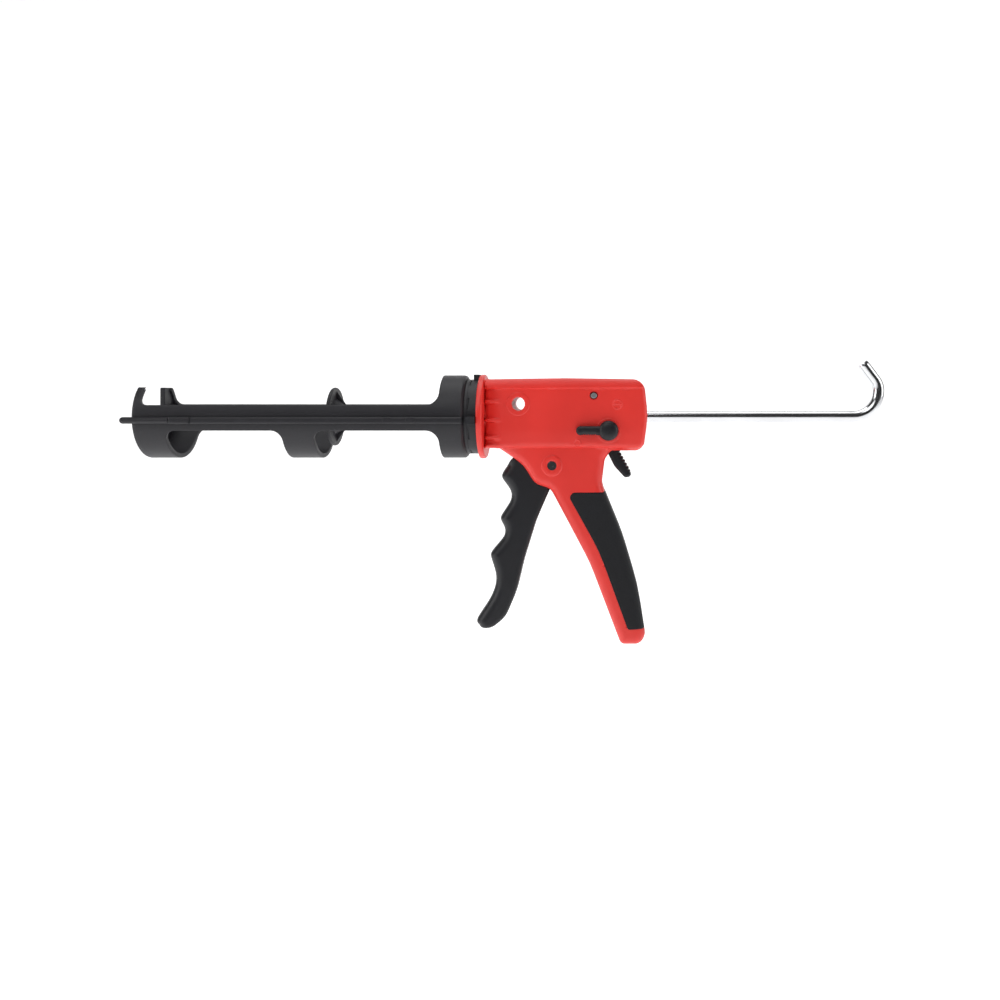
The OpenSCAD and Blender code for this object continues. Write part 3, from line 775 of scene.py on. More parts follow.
class GunFinish(bpy.types.PropertyGroup):
    """Colours and grain of the finishes."""

    red: tint("Red plastic", "Colour of the shells", (0.72, 0.031, 0.023))
    black: tint("Black plastic", "Colour of the cradle", (0.0125, 0.0122, 0.0155))
    trigger: tint("Trigger plastic", "Colour of trigger, lever and knob", (0.005, 0.0051, 0.0075))
    rubber: tint("Grip rubber", "Colour of the grip", (0.0058, 0.0061, 0.008))
    steel: tint("Steel", "Colour of bright steel", (0.62, 0.625, 0.64))
    grain: size("Grain", "Depth of the moulded grain", 1.0, 0.0, 3.0)


# ---- shells, grip and front ----


def handle_height(points, edge):
    """Distance of the handle's surface from the middle plane: flat in the middle, falling in a quarter
    ellipse."""
    d = np.maximum(depth(points, rounded(HANDLE)), 0)
    return HAND_HW + 0.35 * smooth(0, 14, d) - 0.35 - edge_drop(d, edge, edge * 1.05)


def pad_line(loop):
    """An outline moved in by the grip's thickness where the grip lies over it."""
    covered = inside(loop, rounded(PAD))
    return loop + inward(loop) * (GRIP_T * covered)[:, None]


def shell_height(points, side, shape):
    """Distance of a shell's surface from the middle plane. It is the larger of the handle's and the upper
    body's, the body dropping below its proud top strip, with raised rings and two small marks added."""
    hand = handle_height(points, shape.handle_edge)
    d = depth(points, rounded(BODY))
    x, z = points.T
    body = BODY_HW - edge_drop(np.maximum(d, 0), shape.body_edge, shape.body_edge)
    strip = 19.4 + 0.004 * (x - 60)
    body -= shape.strip_step * (1 - smooth(strip - 0.4, strip + 0.5, z)) + 0.9 * smooth(20.5, 26, z)
    body -= 0.5 * smooth(8, 22, -z) * (d > 0)
    ribs = sum(smooth(1.5, 0.8, np.abs(z - at)) for at in RIB_Z)
    sunk = smooth(RIB_END, FLANGE_X[1] - 2, x) * smooth(-19.6, -17.6, z) * smooth(20.4, 18.6, z)
    body -= shape.pocket * sunk * (1 - ribs)
    body = np.where(d > -0.4, body, 0)
    high = np.maximum(hand, body)
    hang = np.hypot(x - HANG[0], z - HANG[1])
    high += 0.3 * smooth(8.1, 7.6, hang) * (hang > 3) - 0.35 * smooth(5.3, 4.3, hang)
    pin = np.hypot(x - PIVOT[0], z - PIVOT[1])
    high += 0.75 * smooth(7.3, 6.4, pin) - 0.25 * smooth(4.2, 3.3, pin)
    if side < 0:
        mark = np.hypot(x - 103.6, z - 8.75)
        circle, bar = np.abs(mark - 3.1), np.abs(z - 8.75)
        high += 0.28 * smooth(0.55, 0.2, circle) + 0.28 * smooth(0.55, 0.2, bar) * (mark < 3.1)
        u, v = x - 76.3, z + 17.9
        drop = np.hypot(u, np.where(v > 0, v * 0.62, v)) + 0.28 * np.maximum(v, 0)
        high += 0.28 * smooth(0.5, 0.15, np.abs(drop - 2.3))
        turn = np.hypot(x - SELECTOR[0], z - SELECTOR[1])
        high += 0.25 * smooth(8.6, 8.1, turn)
    covered = inside(points, rounded(PAD, 1.0))
    return np.where(covered, high - GRIP_T, high)


def shell_inside(points, high, loop, side, wall):
    """Distance of a shell's inner face from the middle plane: the outer one less the wall, 0 along the
    rim and at the posts, held off the middle where the trigger, the lever and the nose's bore are."""
    x, z = points.T
    d = away(points, loop)
    inner = np.where(d > wall, np.maximum(high - wall, 0), 0)
    for at, radius in [(HANG, 5.4)] + [(s, 4.0) for s in SCREWS]:
        inner = np.where(np.hypot(x - at[0], z - at[1]) < radius, 0, inner)
    slot = inside(points, rounded(TRIGGER_SLOT))
    inner = np.where(slot, np.maximum(inner, SLOT_HW), inner)
    slot = inside(points, rounded(LEVER_SLOT))
    inner = np.where(slot, np.maximum(inner, LEVER_GAP_HW), inner)
    front = x < BULKHEAD_X[2] - 0.6
    inner = np.where(front, np.sqrt(np.maximum(0, (HUB_ROOM_R + 0.5) ** 2 - z * z)), inner)
    rear = (x > 120.5) & (np.abs(z) < ROD_R + 0.6)
    inner = np.where(rear, np.sqrt(np.maximum(0, (ROD_R + 0.6) ** 2 - z * z)), inner)
    return np.minimum(inner, high - 0.6)


def edge_pairs(loop, gap=0.8):
    """Points close on each side of a line, so that a step there stands steep."""
    line = spread(loop, gap)
    normal = inward(line)
    return np.vstack([line + normal * 0.06, line - normal * 0.06])


def ring_points(at, radii, steps=40):
    """Circles of points about one centre."""
    return np.vstack([ring(at, r, steps) for r in radii])


def patch(at, half, gap):
    """A fine square grid of points about a centre."""
    a = np.arange(-half, half + gap / 2, gap)
    return np.array(at) + np.stack(np.meshgrid(a, a, indexing="ij"), -1).reshape(-1, 2)


def front_section():
    """Cross-section of nose, flange and hub room in one: bore, step, room, bulkhead with its bush hole."""
    step, wall, room = BULKHEAD_X[0], BULKHEAD_X[1], HUB_ROOM_R + 1.6
    corners = [
        (0.3, BORE_R, 0.4), (step, BORE_R, 0.8), (step, HUB_ROOM_R, 0.3), (wall, HUB_ROOM_R, 0.5),
        (wall, BUSH_R, 0.3),
        (27.0, BUSH_R, 0.3), (27.0, room, 0.3), (FLANGE_X[1], room, 0.2), (FLANGE_X[1], FLANGE_R, 1.6),
        (FLANGE_X[0], FLANGE_R, 1.0), (FLANGE_X[0], NOSE_R, 0.3), (0.3, NOSE_R, 0.5),
    ]
    return rounded(corners, 3.0)


def build_shell(side, shape):
    """One half of the housing."""
    loop = pad_line(rounded(SHELL, 0.8))
    holes = [ring(HANG, 4.5, 36), ring(PIVOT, 3.2, 28), ring(SELECTOR, 2.6, 24)]
    holes += [ring(STOP, 2.8, 28)] if side < 0 else [ring(s, 3.6, 28) for s in SCREWS]
    extra = [
        ring_points(HANG, (4.7, 4.85, 5.0, 5.2, 5.34, 5.46, 7.4, 7.7, 8.0, 8.3)),
        ring_points(PIVOT, (3.5, 3.9, 4.3, 6.2, 6.6, 7.0, 7.4, 7.7)),
        edge_pairs(rounded(TRIGGER_SLOT, 1.0)),
        edge_pairs(rounded(LEVER_SLOT, 1.0)),
        edge_pairs(rounded(PAD, 0.8)),
        edge_pairs(rounded([(20.6, -21.3, 0.1), (118, -21.3, 0.1), (118, -20, 0.1), (20.6, -20, 0.1)], 1.0)),
        np.stack(
            np.meshgrid(np.arange(14, 122, 1.5), np.array([18.6, 19.0, 19.4, 19.8, 20.2, 20.6, 21.0]),
                indexing="ij"), -1
        ).reshape(-1, 2),
        np.stack(np.meshgrid([25.94, 26.06], np.arange(-20, 25, 0.9), indexing="ij"), -1).reshape(-1, 2),
        np.stack(
            np.meshgrid(
                np.arange(13.4, 27, 0.9),
                np.concatenate([z + np.array(RIB_STEPS) for z in RIB_Z]),
                indexing="ij",
            ), -1
        ).reshape(-1, 2),
    ]
    extra += [ring_points(s, (3.94, 4.06), 24) for s in SCREWS]
    if side < 0:
        extra += [patch((103.6, 8.75), 4.0, 0.28), patch((76.3, -17.2), 4.2, 0.28)]
        extra += [ring_points(SELECTOR, (7.9, 8.2, 8.5, 8.8))]
    step = shape.wall
    bands = (0.1, 0.35, 0.8, 1.4, 2.1, step - 0.06, step + 0.06, 3.6, 4.7, 5.6)
    plan = flat_plan(loop, holes, 1.6, bands, extra)
    high = shell_height(plan[0], side, shape)
    low = shell_inside(plan[0], high, loop, side, shape.wall)
    parts = [plate(plan, high, low, on_side(side), 0.35, shape.groove)]
    start = 0.0 if side > 0 else np.pi
    half = lambda along, p, q: np.column_stack([along, q, p])  # noqa: E731
    parts.append(turned(front_section(), half, True, 73, start, np.pi))
    return parts


class GUN_OT_shells(bpy.types.Operator):
    """Build the two red shells with their flange, boss, strip, rings, posts and openings"""

    bl_idname = "gun.shells"
    bl_label = "Housing Shells"

    def execute(self, context):
        shape = context.scene.gun_shape
        for side, name in ((-1, "housing_left"), (1, "housing_right")):
            make(
                name + "_shell", build_shell(side, shape), "housing", "red_plastic", [name], 32
            )
        return {"FINISHED"}


class GUN_OT_grip(bpy.types.Operator):
    """Build the rubber grip that wraps the back of the handle"""

    bl_idname = "gun.grip"
    bl_label = "Rubber Grip"

    def execute(self, context):
        shape = context.scene.gun_shape
        handle, cut = rounded(HANDLE, 0.8), rounded(PAD, 0.8)
        arc = handle[inside(handle, cut)]
        first = int(np.argmin(arc[:, 1]))
        arc = np.roll(arc, -first, 0)
        front = cut[depth(cut, handle) > 0.3]
        front = from_gap(front)
        loop = np.vstack([arc, front])
        loop = spread(loop, 0.8)
        loop = loop if turning(loop) > 0 else loop[::-1]
        bands = (0.08, 0.22, 0.5, 0.9, 1.4, GRIP_T - 0.05, GRIP_T + 0.05, 3.0, 4.2, 5.5)
        parts = []
        for side, holes in ((-1, []), (1, [ring(SCREWS[4], 4.0, 28)])):
            plan = flat_plan(loop, holes, 1.3, bands)
            points = plan[0]
            border = np.min([away(points, front, closed=False), *[away(points, h) for h in holes]], 0)
            d = np.maximum(depth(points, handle), 0)
            top = handle_height(points, shape.handle_edge) + 0.25 - edge_drop(border, 0.7, 0.75)
            inner = np.where(d > GRIP_T, handle_height(points, shape.handle_edge) - GRIP_T + 0.02, 0)
            inner = np.clip(inner, 0, top - 0.3)
            parts.append(plate(plan, top, inner, on_side(side), skip_bottom=(d < GRIP_T) & (inner <= 0)))
        make("grip_pad_rubber", parts, "housing", "grip_rubber", ["grip_pad"], 40)
        return {"FINISHED"}


# ---- cradle ----


def wrap(points, radius):
    """Wraps a flat plan round the rod's axis: the second coordinate is the arc from the bottom, near side
    first."""
    a = points[:, 1] / CRADLE_R
    return np.column_stack([points[:, 0], -radius * np.sin(a), -radius * np.cos(a)])


def unrolled(side_view):
    """Points of the side view, laid out flat: height becomes the arc from the bottom."""
    p = np.array(side_view, float)
    return np.column_stack([p[:, 0], CRADLE_R * np.arccos(np.clip(-p[:, 1] / CRADLE_R, -1, 1))])


def quarter(centre, radius, start, end, steps=10):
    """Points of an arc, angles in degrees."""
    a = np.radians(np.linspace(start, end, steps))
    return [(centre[0] + radius * np.cos(t), centre[1] + radius * np.sin(t)) for t in a]


def mirrored(line):
    """A line of the near side, joined to its mirror image on the far side, as one closed counter-
    clockwise loop."""
    loop = np.vstack([line, line[::-1] * [1, -1]])
    keep = np.linalg.norm(loop - np.roll(loop, 1, 0), axis=1) > 1e-6
    loop = loop[keep]
    return loop if turning(loop) > 0 else loop[::-1]


def rail_rib(side, x0, x1, out, foot=SEAT_R + 1.0):
    """A long rib along a rail, with rounded edges."""
    outline = rounded([(x0, -4.25, 0.5), (x1, -4.25, 0.5), (x1, 0.45, 0.5), (x0, 0.45, 0.5)], 1.2)
    plan = flat_plan(outline, gap=1.6, bands=(0.1, 0.3, 0.7, 1.2, 1.7))
    top = out - edge_drop(away(plan[0], outline), 1.6, 1.2)
    return plate(plan, top, np.full(len(top), foot), on_side(side))


class GUN_OT_cradle(bpy.types.Operator):
    """Build the cradle: an open tube with a slotted front plate, a band, two rails with ribs and a closed
    ring"""

    bl_idname = "gun.cradle"
    bl_label = "Cartridge Cradle"

    def execute(self, context):
        front, plate_in, lip = CRADLE_LOW[0], CRADLE_LOW[0] + 3.8, CRADLE_LOW[0] + 5.2
        up, down, horn = 8.5, -9.0, 20.3
        ring_x, cup, band0, band1 = -17.0, -200.2, -122.2, -100.8
        edge = [(0, CRADLE_R), (ring_x, CRADLE_R), *quarter((ring_x - 8.4, up + 8.4), 8.4, 0, -90)]
        edge += [*quarter((lip + 5, up + 5), 5, -90, -180), (lip, horn), (plate_in, horn)]
        outline = mirrored(unrolled(edge))
        outline = spread(outline, 1.5)
        holes = []
        for x0, x1, r in ((cup, band0, 7.0), (band1, ring_x, 8.4)):
            line = [(x0, -CRADLE_R), *quarter((x0 + 7, down - 7), 7, 180, 90)]
            line += [*quarter((x1 - r, down - r), r, 90, 0), (x1, -CRADLE_R)]
            holes.append(spread(mirrored(unrolled(line)), 1.5))
        turn = np.pi * CRADLE_R
        seam = lambda p: np.abs(p[:, 1]) > turn - 1e-3  # noqa: E731
        plan = flat_plan(outline, holes, 2.2, (0.1, 0.35, 0.8, 1.8))
        points = plan[0]
        kept = [outline[np.abs(outline[:, 1]) < turn - 1e-3]] + holes
        kept[0] = from_gap(kept[0])
        d = np.min([away(points, kept[0], closed=False), *[away(points, h) for h in holes]], 0)
        rear = smooth(-2.6, 0.4, points[:, 0])
        top = CRADLE_R - edge_drop(d, 0.5, 0.45) * (points[:, 0] > plate_in + 0.6) - 2.3 * rear**2
        inner = SEAT_R + edge_drop(d, 0.5, 0.4) * (points[:, 0] > plate_in + 0.6)
        parts = [plate(plan, top, inner, wrap, skip_wall=seam)]
        # front plate with its open slot
        a = np.arcsin(horn / CRADLE_R)
        rim = [(CRADLE_R * np.cos(t), CRADLE_R * np.sin(t)) for t in np.linspace(-np.pi - a, a, 90)]
        slot = [(11.5 * np.cos(t), 11.5 * np.sin(t)) for t in np.linspace(0, -np.pi, 36)]
        claw = [(-11.5, 5.6, 1.0), (-20.5, 7.2, 4.5), (-23.4, 13.6, 5.0), (-20.0, 18.6, 5.0),
            (-14.3, horn, 0.2)]
        sharp = [(*p, 0) for p in (*rim, (11.5, horn), *slot)]
        outline = rounded([*sharp, *claw], 1.3)
        plan = flat_plan(outline, gap=1.8, bands=(0.12, 0.4, 0.9))
        thick = plate_in - front
        from_rim = np.maximum(CRADLE_R - np.linalg.norm(plan[0], axis=1), 0)
        top = thick - edge_drop(from_rim, 2.0, 1.8)
        top -= edge_drop(away(plan[0], outline), 0.6, 0.5) * (from_rim > 0.7)
        parts.append(
            plate(
                plan, top, np.zeros(len(top)),
                lambda p, h: np.column_stack([plate_in - h, p[:, 0], p[:, 1]]),
            )
        )
        web = rounded([(-0.3, COLLAR_BORE, 0.1), (2, COLLAR_BORE, 0.3), (2, COLLAR_R, 0.4),
            (-0.3, COLLAR_R, 0.1)], 3.0)
        parts.append(turned(web, about_x))
        for side in (-1, 1):
            parts.append(rail_rib(side, -182.4, -0.4, CRADLE_R + 2.0))
        parts.append(rail_rib(-1, -196.0, -181.9, CRADLE_R + 2.8))
        parts.append(rail_rib(1, -219.0, -181.9, CRADLE_R + 2.0))
        for x in (-50.0, -34.6):
            knob = rounded([(x - 3.4, -3.4, 1.6), (x + 3.4, -3.4, 1.6), (x + 3.4, 0, 1.6),
                (x - 3.4, 0, 1.6)], 0.6)
            plan = flat_plan(knob, gap=0.9, bands=(0.1, 0.3))
            top = CRADLE_R + 2.2 - edge_drop(away(plan[0], knob), 0.3, 0.25)
            parts.append(plate(plan, top, np.full(len(top), CRADLE_R), on_side(-1)))
        make("cradle_moulding", parts, "cradle", "black_plastic", ["cradle"], 32)
        tip = np.radians(np.linspace(90, 0, 10))
        line = [(-229.0 + 2.25 * (1 - np.sin(t)), 2.25 * np.cos(t)) for t in tip]
        line += [(-196.4, 2.25), (-196.0, 1.9), (-196.0, 0)]
        pin = turned(
            np.array(line), lambda along, p, q: np.column_stack([along, p - CRADLE_R - 0.6, q - 1.9]), False,
            36
        )
        make("piercing_pin_spike", [pin], "cradle", "black_plastic", ["piercing_pin"], 40)
        return {"FINISHED"}


# ---- rod and plunger ----


class GUN_OT_rod(bpy.types.Operator):
    """Build the plated push rod with its two-bend hook"""

    bl_idname = "gun.rod"
    bl_label = "Push Rod"

    def execute(self, context):
        x0, tail, r1, r2, turn = ROD_LOW[0], 268.6, 18.0, 13.0, 37.0
        straight = np.column_stack([np.linspace(x0, tail, 180), np.zeros(180)])
        first = np.array(quarter((tail, r1), r1, -90, 0, 40))[1:]
        second = np.array(quarter((tail + r1 - r2, r1), r2, 0, turn, 20))[1:]
        way = np.array([-np.sin(np.radians(turn)), np.cos(np.radians(turn))])
        last = second[-1] + np.linspace(0.6, 14.5, 16)[:, None] * way
        line = np.vstack([straight, first, second, last])
        radius = np.full(len(line), ROD_R)
        path = np.column_stack([line[:, 0], np.zeros(len(line)), line[:, 1]])
        # round the cut end over three steps, and close the plunger end with a flat face
        end = path[-1] + 1e-6 * np.array([way[0], 0, way[1]])
        path = np.vstack([path[0], path, end, end])
        radius = np.concatenate([[0.0], radius, [ROD_R - 1.1], [0.0]])
        radius[-4:-2] = (ROD_R - 0.15, ROD_R - 0.6)
        radius[1] = ROD_R
        verts, faces, uv = tube(path, radius, np.array([0.0, 1.0, 0.0]), 40)
        make("rod_bar", [(verts, faces)], "rod", "bright_steel", ROD_NODES, 50, uv)
        return {"FINISHED"}


class GUN_OT_plunger(bpy.types.Operator):
    """Build the plunger disc with its hub and six gussets"""

    bl_idname = "gun.plunger"
    bl_label = "Plunger"

    def execute(self, context):
        x0, x1, r = DISC_LOW[0], DISC_HIGH[0], DISC_HIGH[2]
        section = rounded(
            [
                (x0, 7.25, 0.2), (x0, r, 0.9), (x0 + 2.4, r, 0.9), (x0 + 2.4, 12.4, 1.0),
                (x1, ROD_R + 2.6, 0.5),
                (x1, ROD_R + 0.02, 0.1), (x0 + 3, ROD_R + 0.02, 0.1), (x0 + 3, 7.25, 0.1),
            ], 2.0,
        )
        parts = [turned(section, about_x)]
        shape = rounded(
            [(x0 + 1.2, 6, 0.1), (x1 - 0.6, 6, 0.1), (x1 - 0.6, ROD_R + 2.2, 0.5), (x0 + 2.4, r - 2.6, 0.8),
                (x0 + 1.2, r - 2.6, 0.1)],
            1.0,
        )
        plan = flat_plan(shape, gap=1.5, bands=(0.1, 0.3))
        top = 0.9 - edge_drop(away(plan[0], shape), 0.35, 0.3)
        for a in np.radians(np.arange(0, 360, 60)):
            parts.append(
                both_sides(
                    plan, top,
                    lambda p, h, a=a: np.column_stack(
                        [p[:, 0], h * np.cos(a) - p[:, 1] * np.sin(a), h * np.sin(a) + p[:, 1] * np.cos(a)]
                    ),
                )
            )
        make("plunger_disc", parts, "rod", "black_plastic", ["plunger"], 32)
        return {"FINISHED"}


# ---- trigger, lever and knob ----


class GUN_OT_trigger(bpy.types.Operator):
    """Build the trigger: a round front with finger hollows, a flatter back, its hub and its push nose"""

    bl_idname = "gun.trigger"
    bl_label = "Trigger"

    def execute(self, context):
        edge = context.scene.gun_shape.trigger_edge
        outline = softened(rounded([*TRIGGER_BACK, *TRIGGER_FRONT], 0.4), 1.9)
        plan = flat_plan(outline, gap=1.3, bands=(0.06, 0.2, 0.5, 0.9, 1.5, 2.2, 3.1, 4.2, 5.4, 6.6))
        points = plan[0]
        back = np.array([corner[:2] for corner in TRIGGER_BACK])
        spine = spread(back, 1.0, closed=False)
        from_back = near_points(outline, spine) < 2.6
        rear = outline[from_back]
        front = outline[~from_back & (outline[:, 1] < -33)]
        top = TRIGGER_HW - edge_drop(near_points(points, front), edge, TRIGGER_HW - 1.0)
        top -= edge_drop(near_points(points, rear), 2.4, 2.4)
        rim = outline[~from_back & (outline[:, 1] >= -33)]
        top -= edge_drop(near_points(points, rim), 1.6, 1.2)
        parts = [both_sides(plan, np.maximum(top, 0.9), on_side(1))]
        hub = rounded([(-10.5, 3.3, 0.3), (10.5, 3.3, 0.3), (10.5, 8.5, 0.9), (-10.5, 8.5, 0.9)], 2.0)
        parts.append(turned(hub, about_y(PIVOT), True, 56))
        push, pivot = np.array([71.7, -11.0]), np.array(PIVOT)
        arm = unit(push - pivot)
        fore = np.array([-arm[1], arm[0]])
        corners = [push + 1.6 * fore, push + 1.6 * fore - 11.6 * arm, pivot + [-6, 5], pivot + [6, -3],
            push - 2.4 * fore]
        bar = rounded([(*c, 0.4) for c in corners], 0.9)
        plan = flat_plan(bar, gap=1.5, bands=(0.1, 0.4, 0.9))
        parts.append(both_sides(plan, 6 - edge_drop(away(plan[0], bar), 0.8, 0.7), on_side(1)))
        nose = rounded([(-6, 0.01, 0), (6, 0.01, 0), (6, 2.4, 0.5), (-6, 2.4, 0.5)], 1.5)
        parts.append(turned(nose, about_y(push), True, 32))
        make("trigger_moulding", parts, "trigger", "trigger_plastic", ["trigger"], 34)
        return {"FINISHED"}


def toothed(loop, start, end, pitch, deep):
    """An outline with round-topped teeth between two of its places: it moves in by a wave along its
    length."""
    length = np.concatenate([[0], np.cumsum(np.linalg.norm(np.diff(loop, axis=0), axis=1))])
    i, j = (int(np.argmin(np.linalg.norm(loop - np.array(p), axis=1))) for p in (start, end))
    low, high = sorted((length[i], length[j]))
    on = smooth(low, low + 0.3, length) * smooth(high, high - 0.3, length)
    wave = np.abs(np.sin(np.pi * (length - low) / pitch))
    return loop + inward(loop) * (deep * on * (1 - wave))[:, None]


class GUN_OT_lever(bpy.types.Operator):
    """Build the thumb release lever with its serrated back"""

    bl_idname = "gun.lever"
    bl_label = "Release Lever"

    def execute(self, context):
        loop = toothed(rounded(LEVER, 0.22), (113.0, -38.5), (105.4, -23.5), 2.6, 1.2)
        plan = flat_plan(loop, gap=1.1, bands=(0.15, 0.45, 1.0, 1.7))
        top = 5.5 - edge_drop(away(plan[0], loop), 1.6, 1.5)
        parts = [both_sides(plan, top, on_side(1))]
        hub = rounded([(-6.5, 2.65, 0.2), (6.5, 2.65, 0.2), (6.5, 4.4, 0.4), (-6.5, 4.4, 0.4)], 1.5)
        parts.append(turned(hub, about_y(SELECTOR), True, 40))
        low = LEVER_LOW
        tip = np.array([low[0] + 2.0, -17.9])
        at = np.array(SELECTOR)
        bar = rounded([(*(tip + [0, -2]), 0.3), (*(at + [0, -9]), 0.3), (*(at + [0, -4.4]), 0.3),
            (*(tip + [0, 2]), 0.3)], 0.8)
        plan = flat_plan(bar, gap=1.2, bands=(0.1, 0.4))
        parts.append(both_sides(plan, 5.5 - edge_drop(away(plan[0], bar), 0.6, 0.5), on_side(1)))
        end = rounded([(-5.5, 0.01, 0), (5.5, 0.01, 0), (5.5, 2, 0.5), (-5.5, 2, 0.5)], 1.5)
        parts.append(turned(end, about_y(tip), True, 32))
        make("release_lever_moulding", parts, "lever", "trigger_plastic", ["release_lever"], 34)
        return {"FINISHED"}


class GUN_OT_selector(bpy.types.Operator):
    """Build the selector knob: a domed hub and a rounded arm with small teeth below"""

    bl_idname = "gun.selector"
    bl_label = "Selector Knob"

    def execute(self, context):
        x, z = SELECTOR
        base = BODY_HW + 0.3
        arm = rounded(
            [(x - 22, z - 3.1, 3.0), (x, z - 3.1, 0.1), (x, z + 3.1, 0.1), (x - 22, z + 3.1, 3.0)], 0.22
        )
        arm = toothed(arm, (x - 18.6, z - 3.1), (x - 8.0, z - 3.1), 1.6, 0.75)
        plan = flat_plan(arm, gap=1.0, bands=(0.12, 0.35, 0.8, 1.4, 2.0))
        d = away(plan[0], arm)
        top = base + 3.7 - edge_drop(d, 2.0, 1.7)
        parts = [plate(plan, top, np.full(len(top), base), on_side(-1))]
        dome = np.radians(np.linspace(0, 90, 12))
        line = [(base, 0.0), (base, 6.7), (base + 1.6, 6.8)]
        line += [(base + 1.9 + 3.2 * np.sin(t) ** 1.0, 6.8 * np.cos(t) ** 0.75) for t in dome]
        line[-1] = (line[-1][0], 0.0)
        parts.append(turned(np.array(line), about_y(SELECTOR, -1), False, 64))
        make(
            "selector_knob_moulding", parts, "selector", "trigger_plastic", ["selector_knob"], 40
        )
        return {"FINISHED"}


# ---- springs ----


def coil(radius, wire, x0, x1, turns):
    """A round wire on a helix about the rod's axis, with rounded ends."""
    t = np.linspace(0, 1, int(turns * 30) + 1)
    a = 2 * np.pi * turns * t
    x = x0 + wire / 2 + (x1 - x0 - wire) * t
    path = np.column_stack([x, radius * np.sin(a), radius * np.cos(a)])
    outward = np.column_stack([np.zeros(len(t)), np.sin(a), np.cos(a)])
    size = np.full(len(t), wire / 2)
    size[[0, -1]] = 0.0
    size[[1, -2]] = wire * 0.35
    path[0], path[-1] = path[1], path[-2]
    path[0] += 1e-4 * unit(path[0] - path[2])
    path[-1] += 1e-4 * unit(path[-1] - path[-3])
    verts, faces, _ = tube(path, size, outward, 12)
    return verts, faces


class GUN_OT_springs(bpy.types.Operator):
    """Build the drive spring and the brake spring"""

    bl_idname = "gun.springs"
    bl_label = "Springs"

    def execute(self, context):
        turns = context.scene.gun_shape.turns
        drive = make(
            "drive_spring_wire", [coil(6.6, 1.2, DRIVE_LOW[0], DRIVE_HIGH[0], turns)], "housing",
            "spring_steel",
            ["drive_spring"], 60,
        )
        brake = make(
            "brake_spring_wire", [coil(6.0, 1.1, BRAKE_LOW[0], BRAKE_HIGH[0], 3)], "housing", "spring_steel",
            ["brake_spring"], 60,
        )
        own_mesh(drive)
        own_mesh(brake)
        return {"FINISHED"}


# ---- kept parts ----


def rounded_copy(node, name, body):
    """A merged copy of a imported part, with its sharp edges rounded a little."""
    mesh = node.data.copy()
    mesh.transform(node.matrix_world)
    b = bmesh.new()
    b.from_mesh(mesh)
    bmesh.ops.remove_doubles(b, verts=b.verts, dist=2e-6)
    bmesh.ops.dissolve_limit(b, angle_limit=np.radians(1.0), verts=b.verts, edges=b.edges)
    b.to_mesh(mesh)
    b.free()
    mesh.shade_smooth()
    mesh.set_sharp_from_angle(angle=np.radians(35))
    piece = bpy.data.objects.new(name + "_rounded", mesh)
    bpy.context.scene.collection.objects.link(piece)
    rounding = piece.modifiers.new("edges", "BEVEL")
    rounding.width = 0.35 * MM
    rounding.segments = 2
    rounding.limit_method = "ANGLE"
    rounding.angle_limit = np.radians(40)
    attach(piece, body)
    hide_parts(name)


class GUN_OT_kept(bpy.types.Operator):
    """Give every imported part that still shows, and every hidden one, its finish"""

    bl_idname = "gun.kept"
    bl_label = "Kept Parts"

    def execute(self, context):
        slots = {row["node"]: row["material_slot"] for row in FRAME["record"]["subparts"]}
        for name, node in FRAME["nodes"].items():
            node.data.materials.clear()
            kind = "spring_steel" if slots[name] == "bright_steel" else slots[name]
            node.data.materials.append(finish(kind))
        for body, names in FRAME["record"]["behaviour"]["bodies"].items():
            for name in names:
                if name in ("swivel_collar", "trigger_pivot_pin", "stop_pin"):
                    rounded_copy(FRAME["nodes"][name], name, body)
        return {"FINISHED"}


# ---- stage ----


def area_light(name, at, aim, size, power):
    """A soft square light that looks at a point."""
    data = bpy.data.lights.new(name, "AREA")
    data.size = size
    data.energy = power
    light = bpy.data.objects.new(name, data)
    light.location = at
    light.rotation_euler = (Vector(aim) - Vector(at)).to_track_quat("-Z", "Y").to_euler()
    bpy.context.scene.collection.objects.link(light)


def surround(tree):
    """The studio round the gun: dark behind the camera, paler above and behind the gun, white where it is
    seen."""
    way = tree.nodes.new("ShaderNodeSeparateXYZ")
    tree.links.new(tree.nodes.new("ShaderNodeTexCoord").outputs["Generated"], way.inputs[0])
    up = Number(tree, way.outputs["Z"])
    back = Number(tree, way.outputs["Y"])
    glow = 0.02 + 0.06 * up.maths("MAXIMUM", up, 0.0) + 0.05 * back.maths("MAXIMUM", back, 0.0)
    seen = Number(tree, tree.nodes.new("ShaderNodeLightPath").outputs["Is Camera Ray"])
    tree.nodes["Background"].inputs["Color"].default_value = (1, 1, 1, 1)
    plug(tree, tree.nodes["Background"].inputs["Strength"], glow.maths("MAXIMUM", glow, seen))


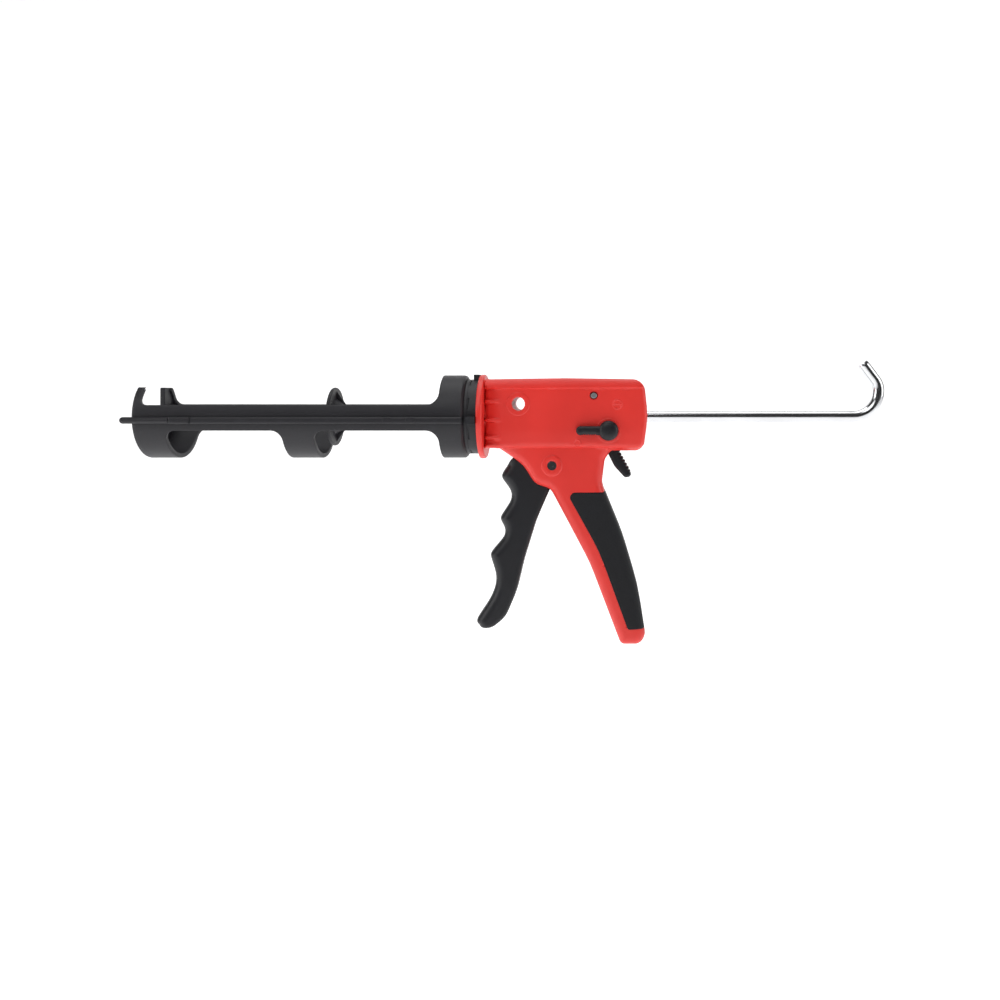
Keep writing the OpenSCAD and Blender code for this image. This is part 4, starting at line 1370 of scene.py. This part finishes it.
class GUN_OT_stage(bpy.types.Operator):
    """Set up the pale sweep, the soft lights, the white surround and the camera"""

    bl_idname = "gun.stage"
    bl_label = "Studio"

    def execute(self, context):
        scene = context.scene
        corner = quarter((2.2, 0.55), 1.2, -90, 0, 24)
        line = np.array([(-3.5, -0.65), *corner, (3.4, 4.0)])
        x = np.linspace(-4, 4, 9)
        y, z = np.repeat(line[None, :, 0], 9, 0), np.repeat(line[None, :, 1], 9, 0)
        verts = np.stack([np.broadcast_to(x[:, None], y.shape), y, z], -1).reshape(-1, 3)
        mesh = bpy.data.meshes.new("sweep")
        mesh.from_pydata(verts, [], sheet_faces(9, len(line), False, False)[:, ::-1].tolist())
        mesh.shade_smooth()
        mesh.materials.append(finish("studio_white"))
        sweep = bpy.data.objects.new("sweep", mesh)
        scene.collection.objects.link(sweep)
        world = bpy.data.worlds.new("surround")
        world.use_nodes = True
        surround(world.node_tree)
        scene.world = world
        area_light("key", (-0.5, -1.5, 1.5), (0, 0, -0.03), 1.3, 15)
        area_light("left", (-1.7, -0.5, 0.3), (0, 0, -0.05), 1.2, 13)
        area_light("right", (1.8, -0.45, 0.35), (0.1, 0, -0.05), 1.2, 11)
        area_light("top", (0.1, 0.1, 1.9), (0.1, 0, 0), 1.5, 20)
        camera = bpy.data.objects.new("camera", bpy.data.cameras.new("camera"))
        camera.data.sensor_width = 36
        camera.data.lens = 32.4
        camera.data.shift_x = -0.1
        camera.data.shift_y = -0.105
        camera.data.clip_start = 0.01
        camera.location = (0.0917, -0.63, 0.01505)
        camera.rotation_euler = (np.pi / 2, 0, 0)
        scene.collection.objects.link(camera)
        scene.camera = camera
        scene.view_settings.view_transform = "Standard"
        return {"FINISHED"}


OPERATORS = (
    GUN_OT_stage, GUN_OT_kept, GUN_OT_shells, GUN_OT_grip, GUN_OT_cradle, GUN_OT_rod, GUN_OT_plunger,
    GUN_OT_trigger,
    GUN_OT_lever, GUN_OT_selector, GUN_OT_springs,
)


class GUN_PT_panel(bpy.types.Panel):
    """Lists the pieces and the settings"""

    bl_idname = "GUN_PT_panel"
    bl_label = "Caulking Gun"
    bl_space_type = "VIEW_3D"
    bl_region_type = "UI"
    bl_category = "Caulking Gun"

    def draw(self, context):
        for group in (context.scene.gun_shape, context.scene.gun_finish):
            for name in group.__annotations__:
                self.layout.prop(group, name)
        for operator in OPERATORS:
            self.layout.operator(operator.bl_idname)


CLASSES = (GunShape, GunFinish, *OPERATORS, GUN_PT_panel)


def register():
    """Adds the classes and the settings."""
    for cls in CLASSES:
        bpy.utils.register_class(cls)
    bpy.types.Scene.gun_shape = PointerProperty(type=GunShape)
    bpy.types.Scene.gun_finish = PointerProperty(type=GunFinish)


def unregister():
    """Takes the settings and the classes away."""
    del bpy.types.Scene.gun_finish
    del bpy.types.Scene.gun_shape
    for cls in reversed(CLASSES):
        bpy.utils.unregister_class(cls)


def main():
    """Builds everything in order."""
    register()
    for operator in OPERATORS:
        group, name = operator.bl_idname.split(".")
        getattr(getattr(bpy.ops, group), name)()


if __name__ == "__main__":
    main()
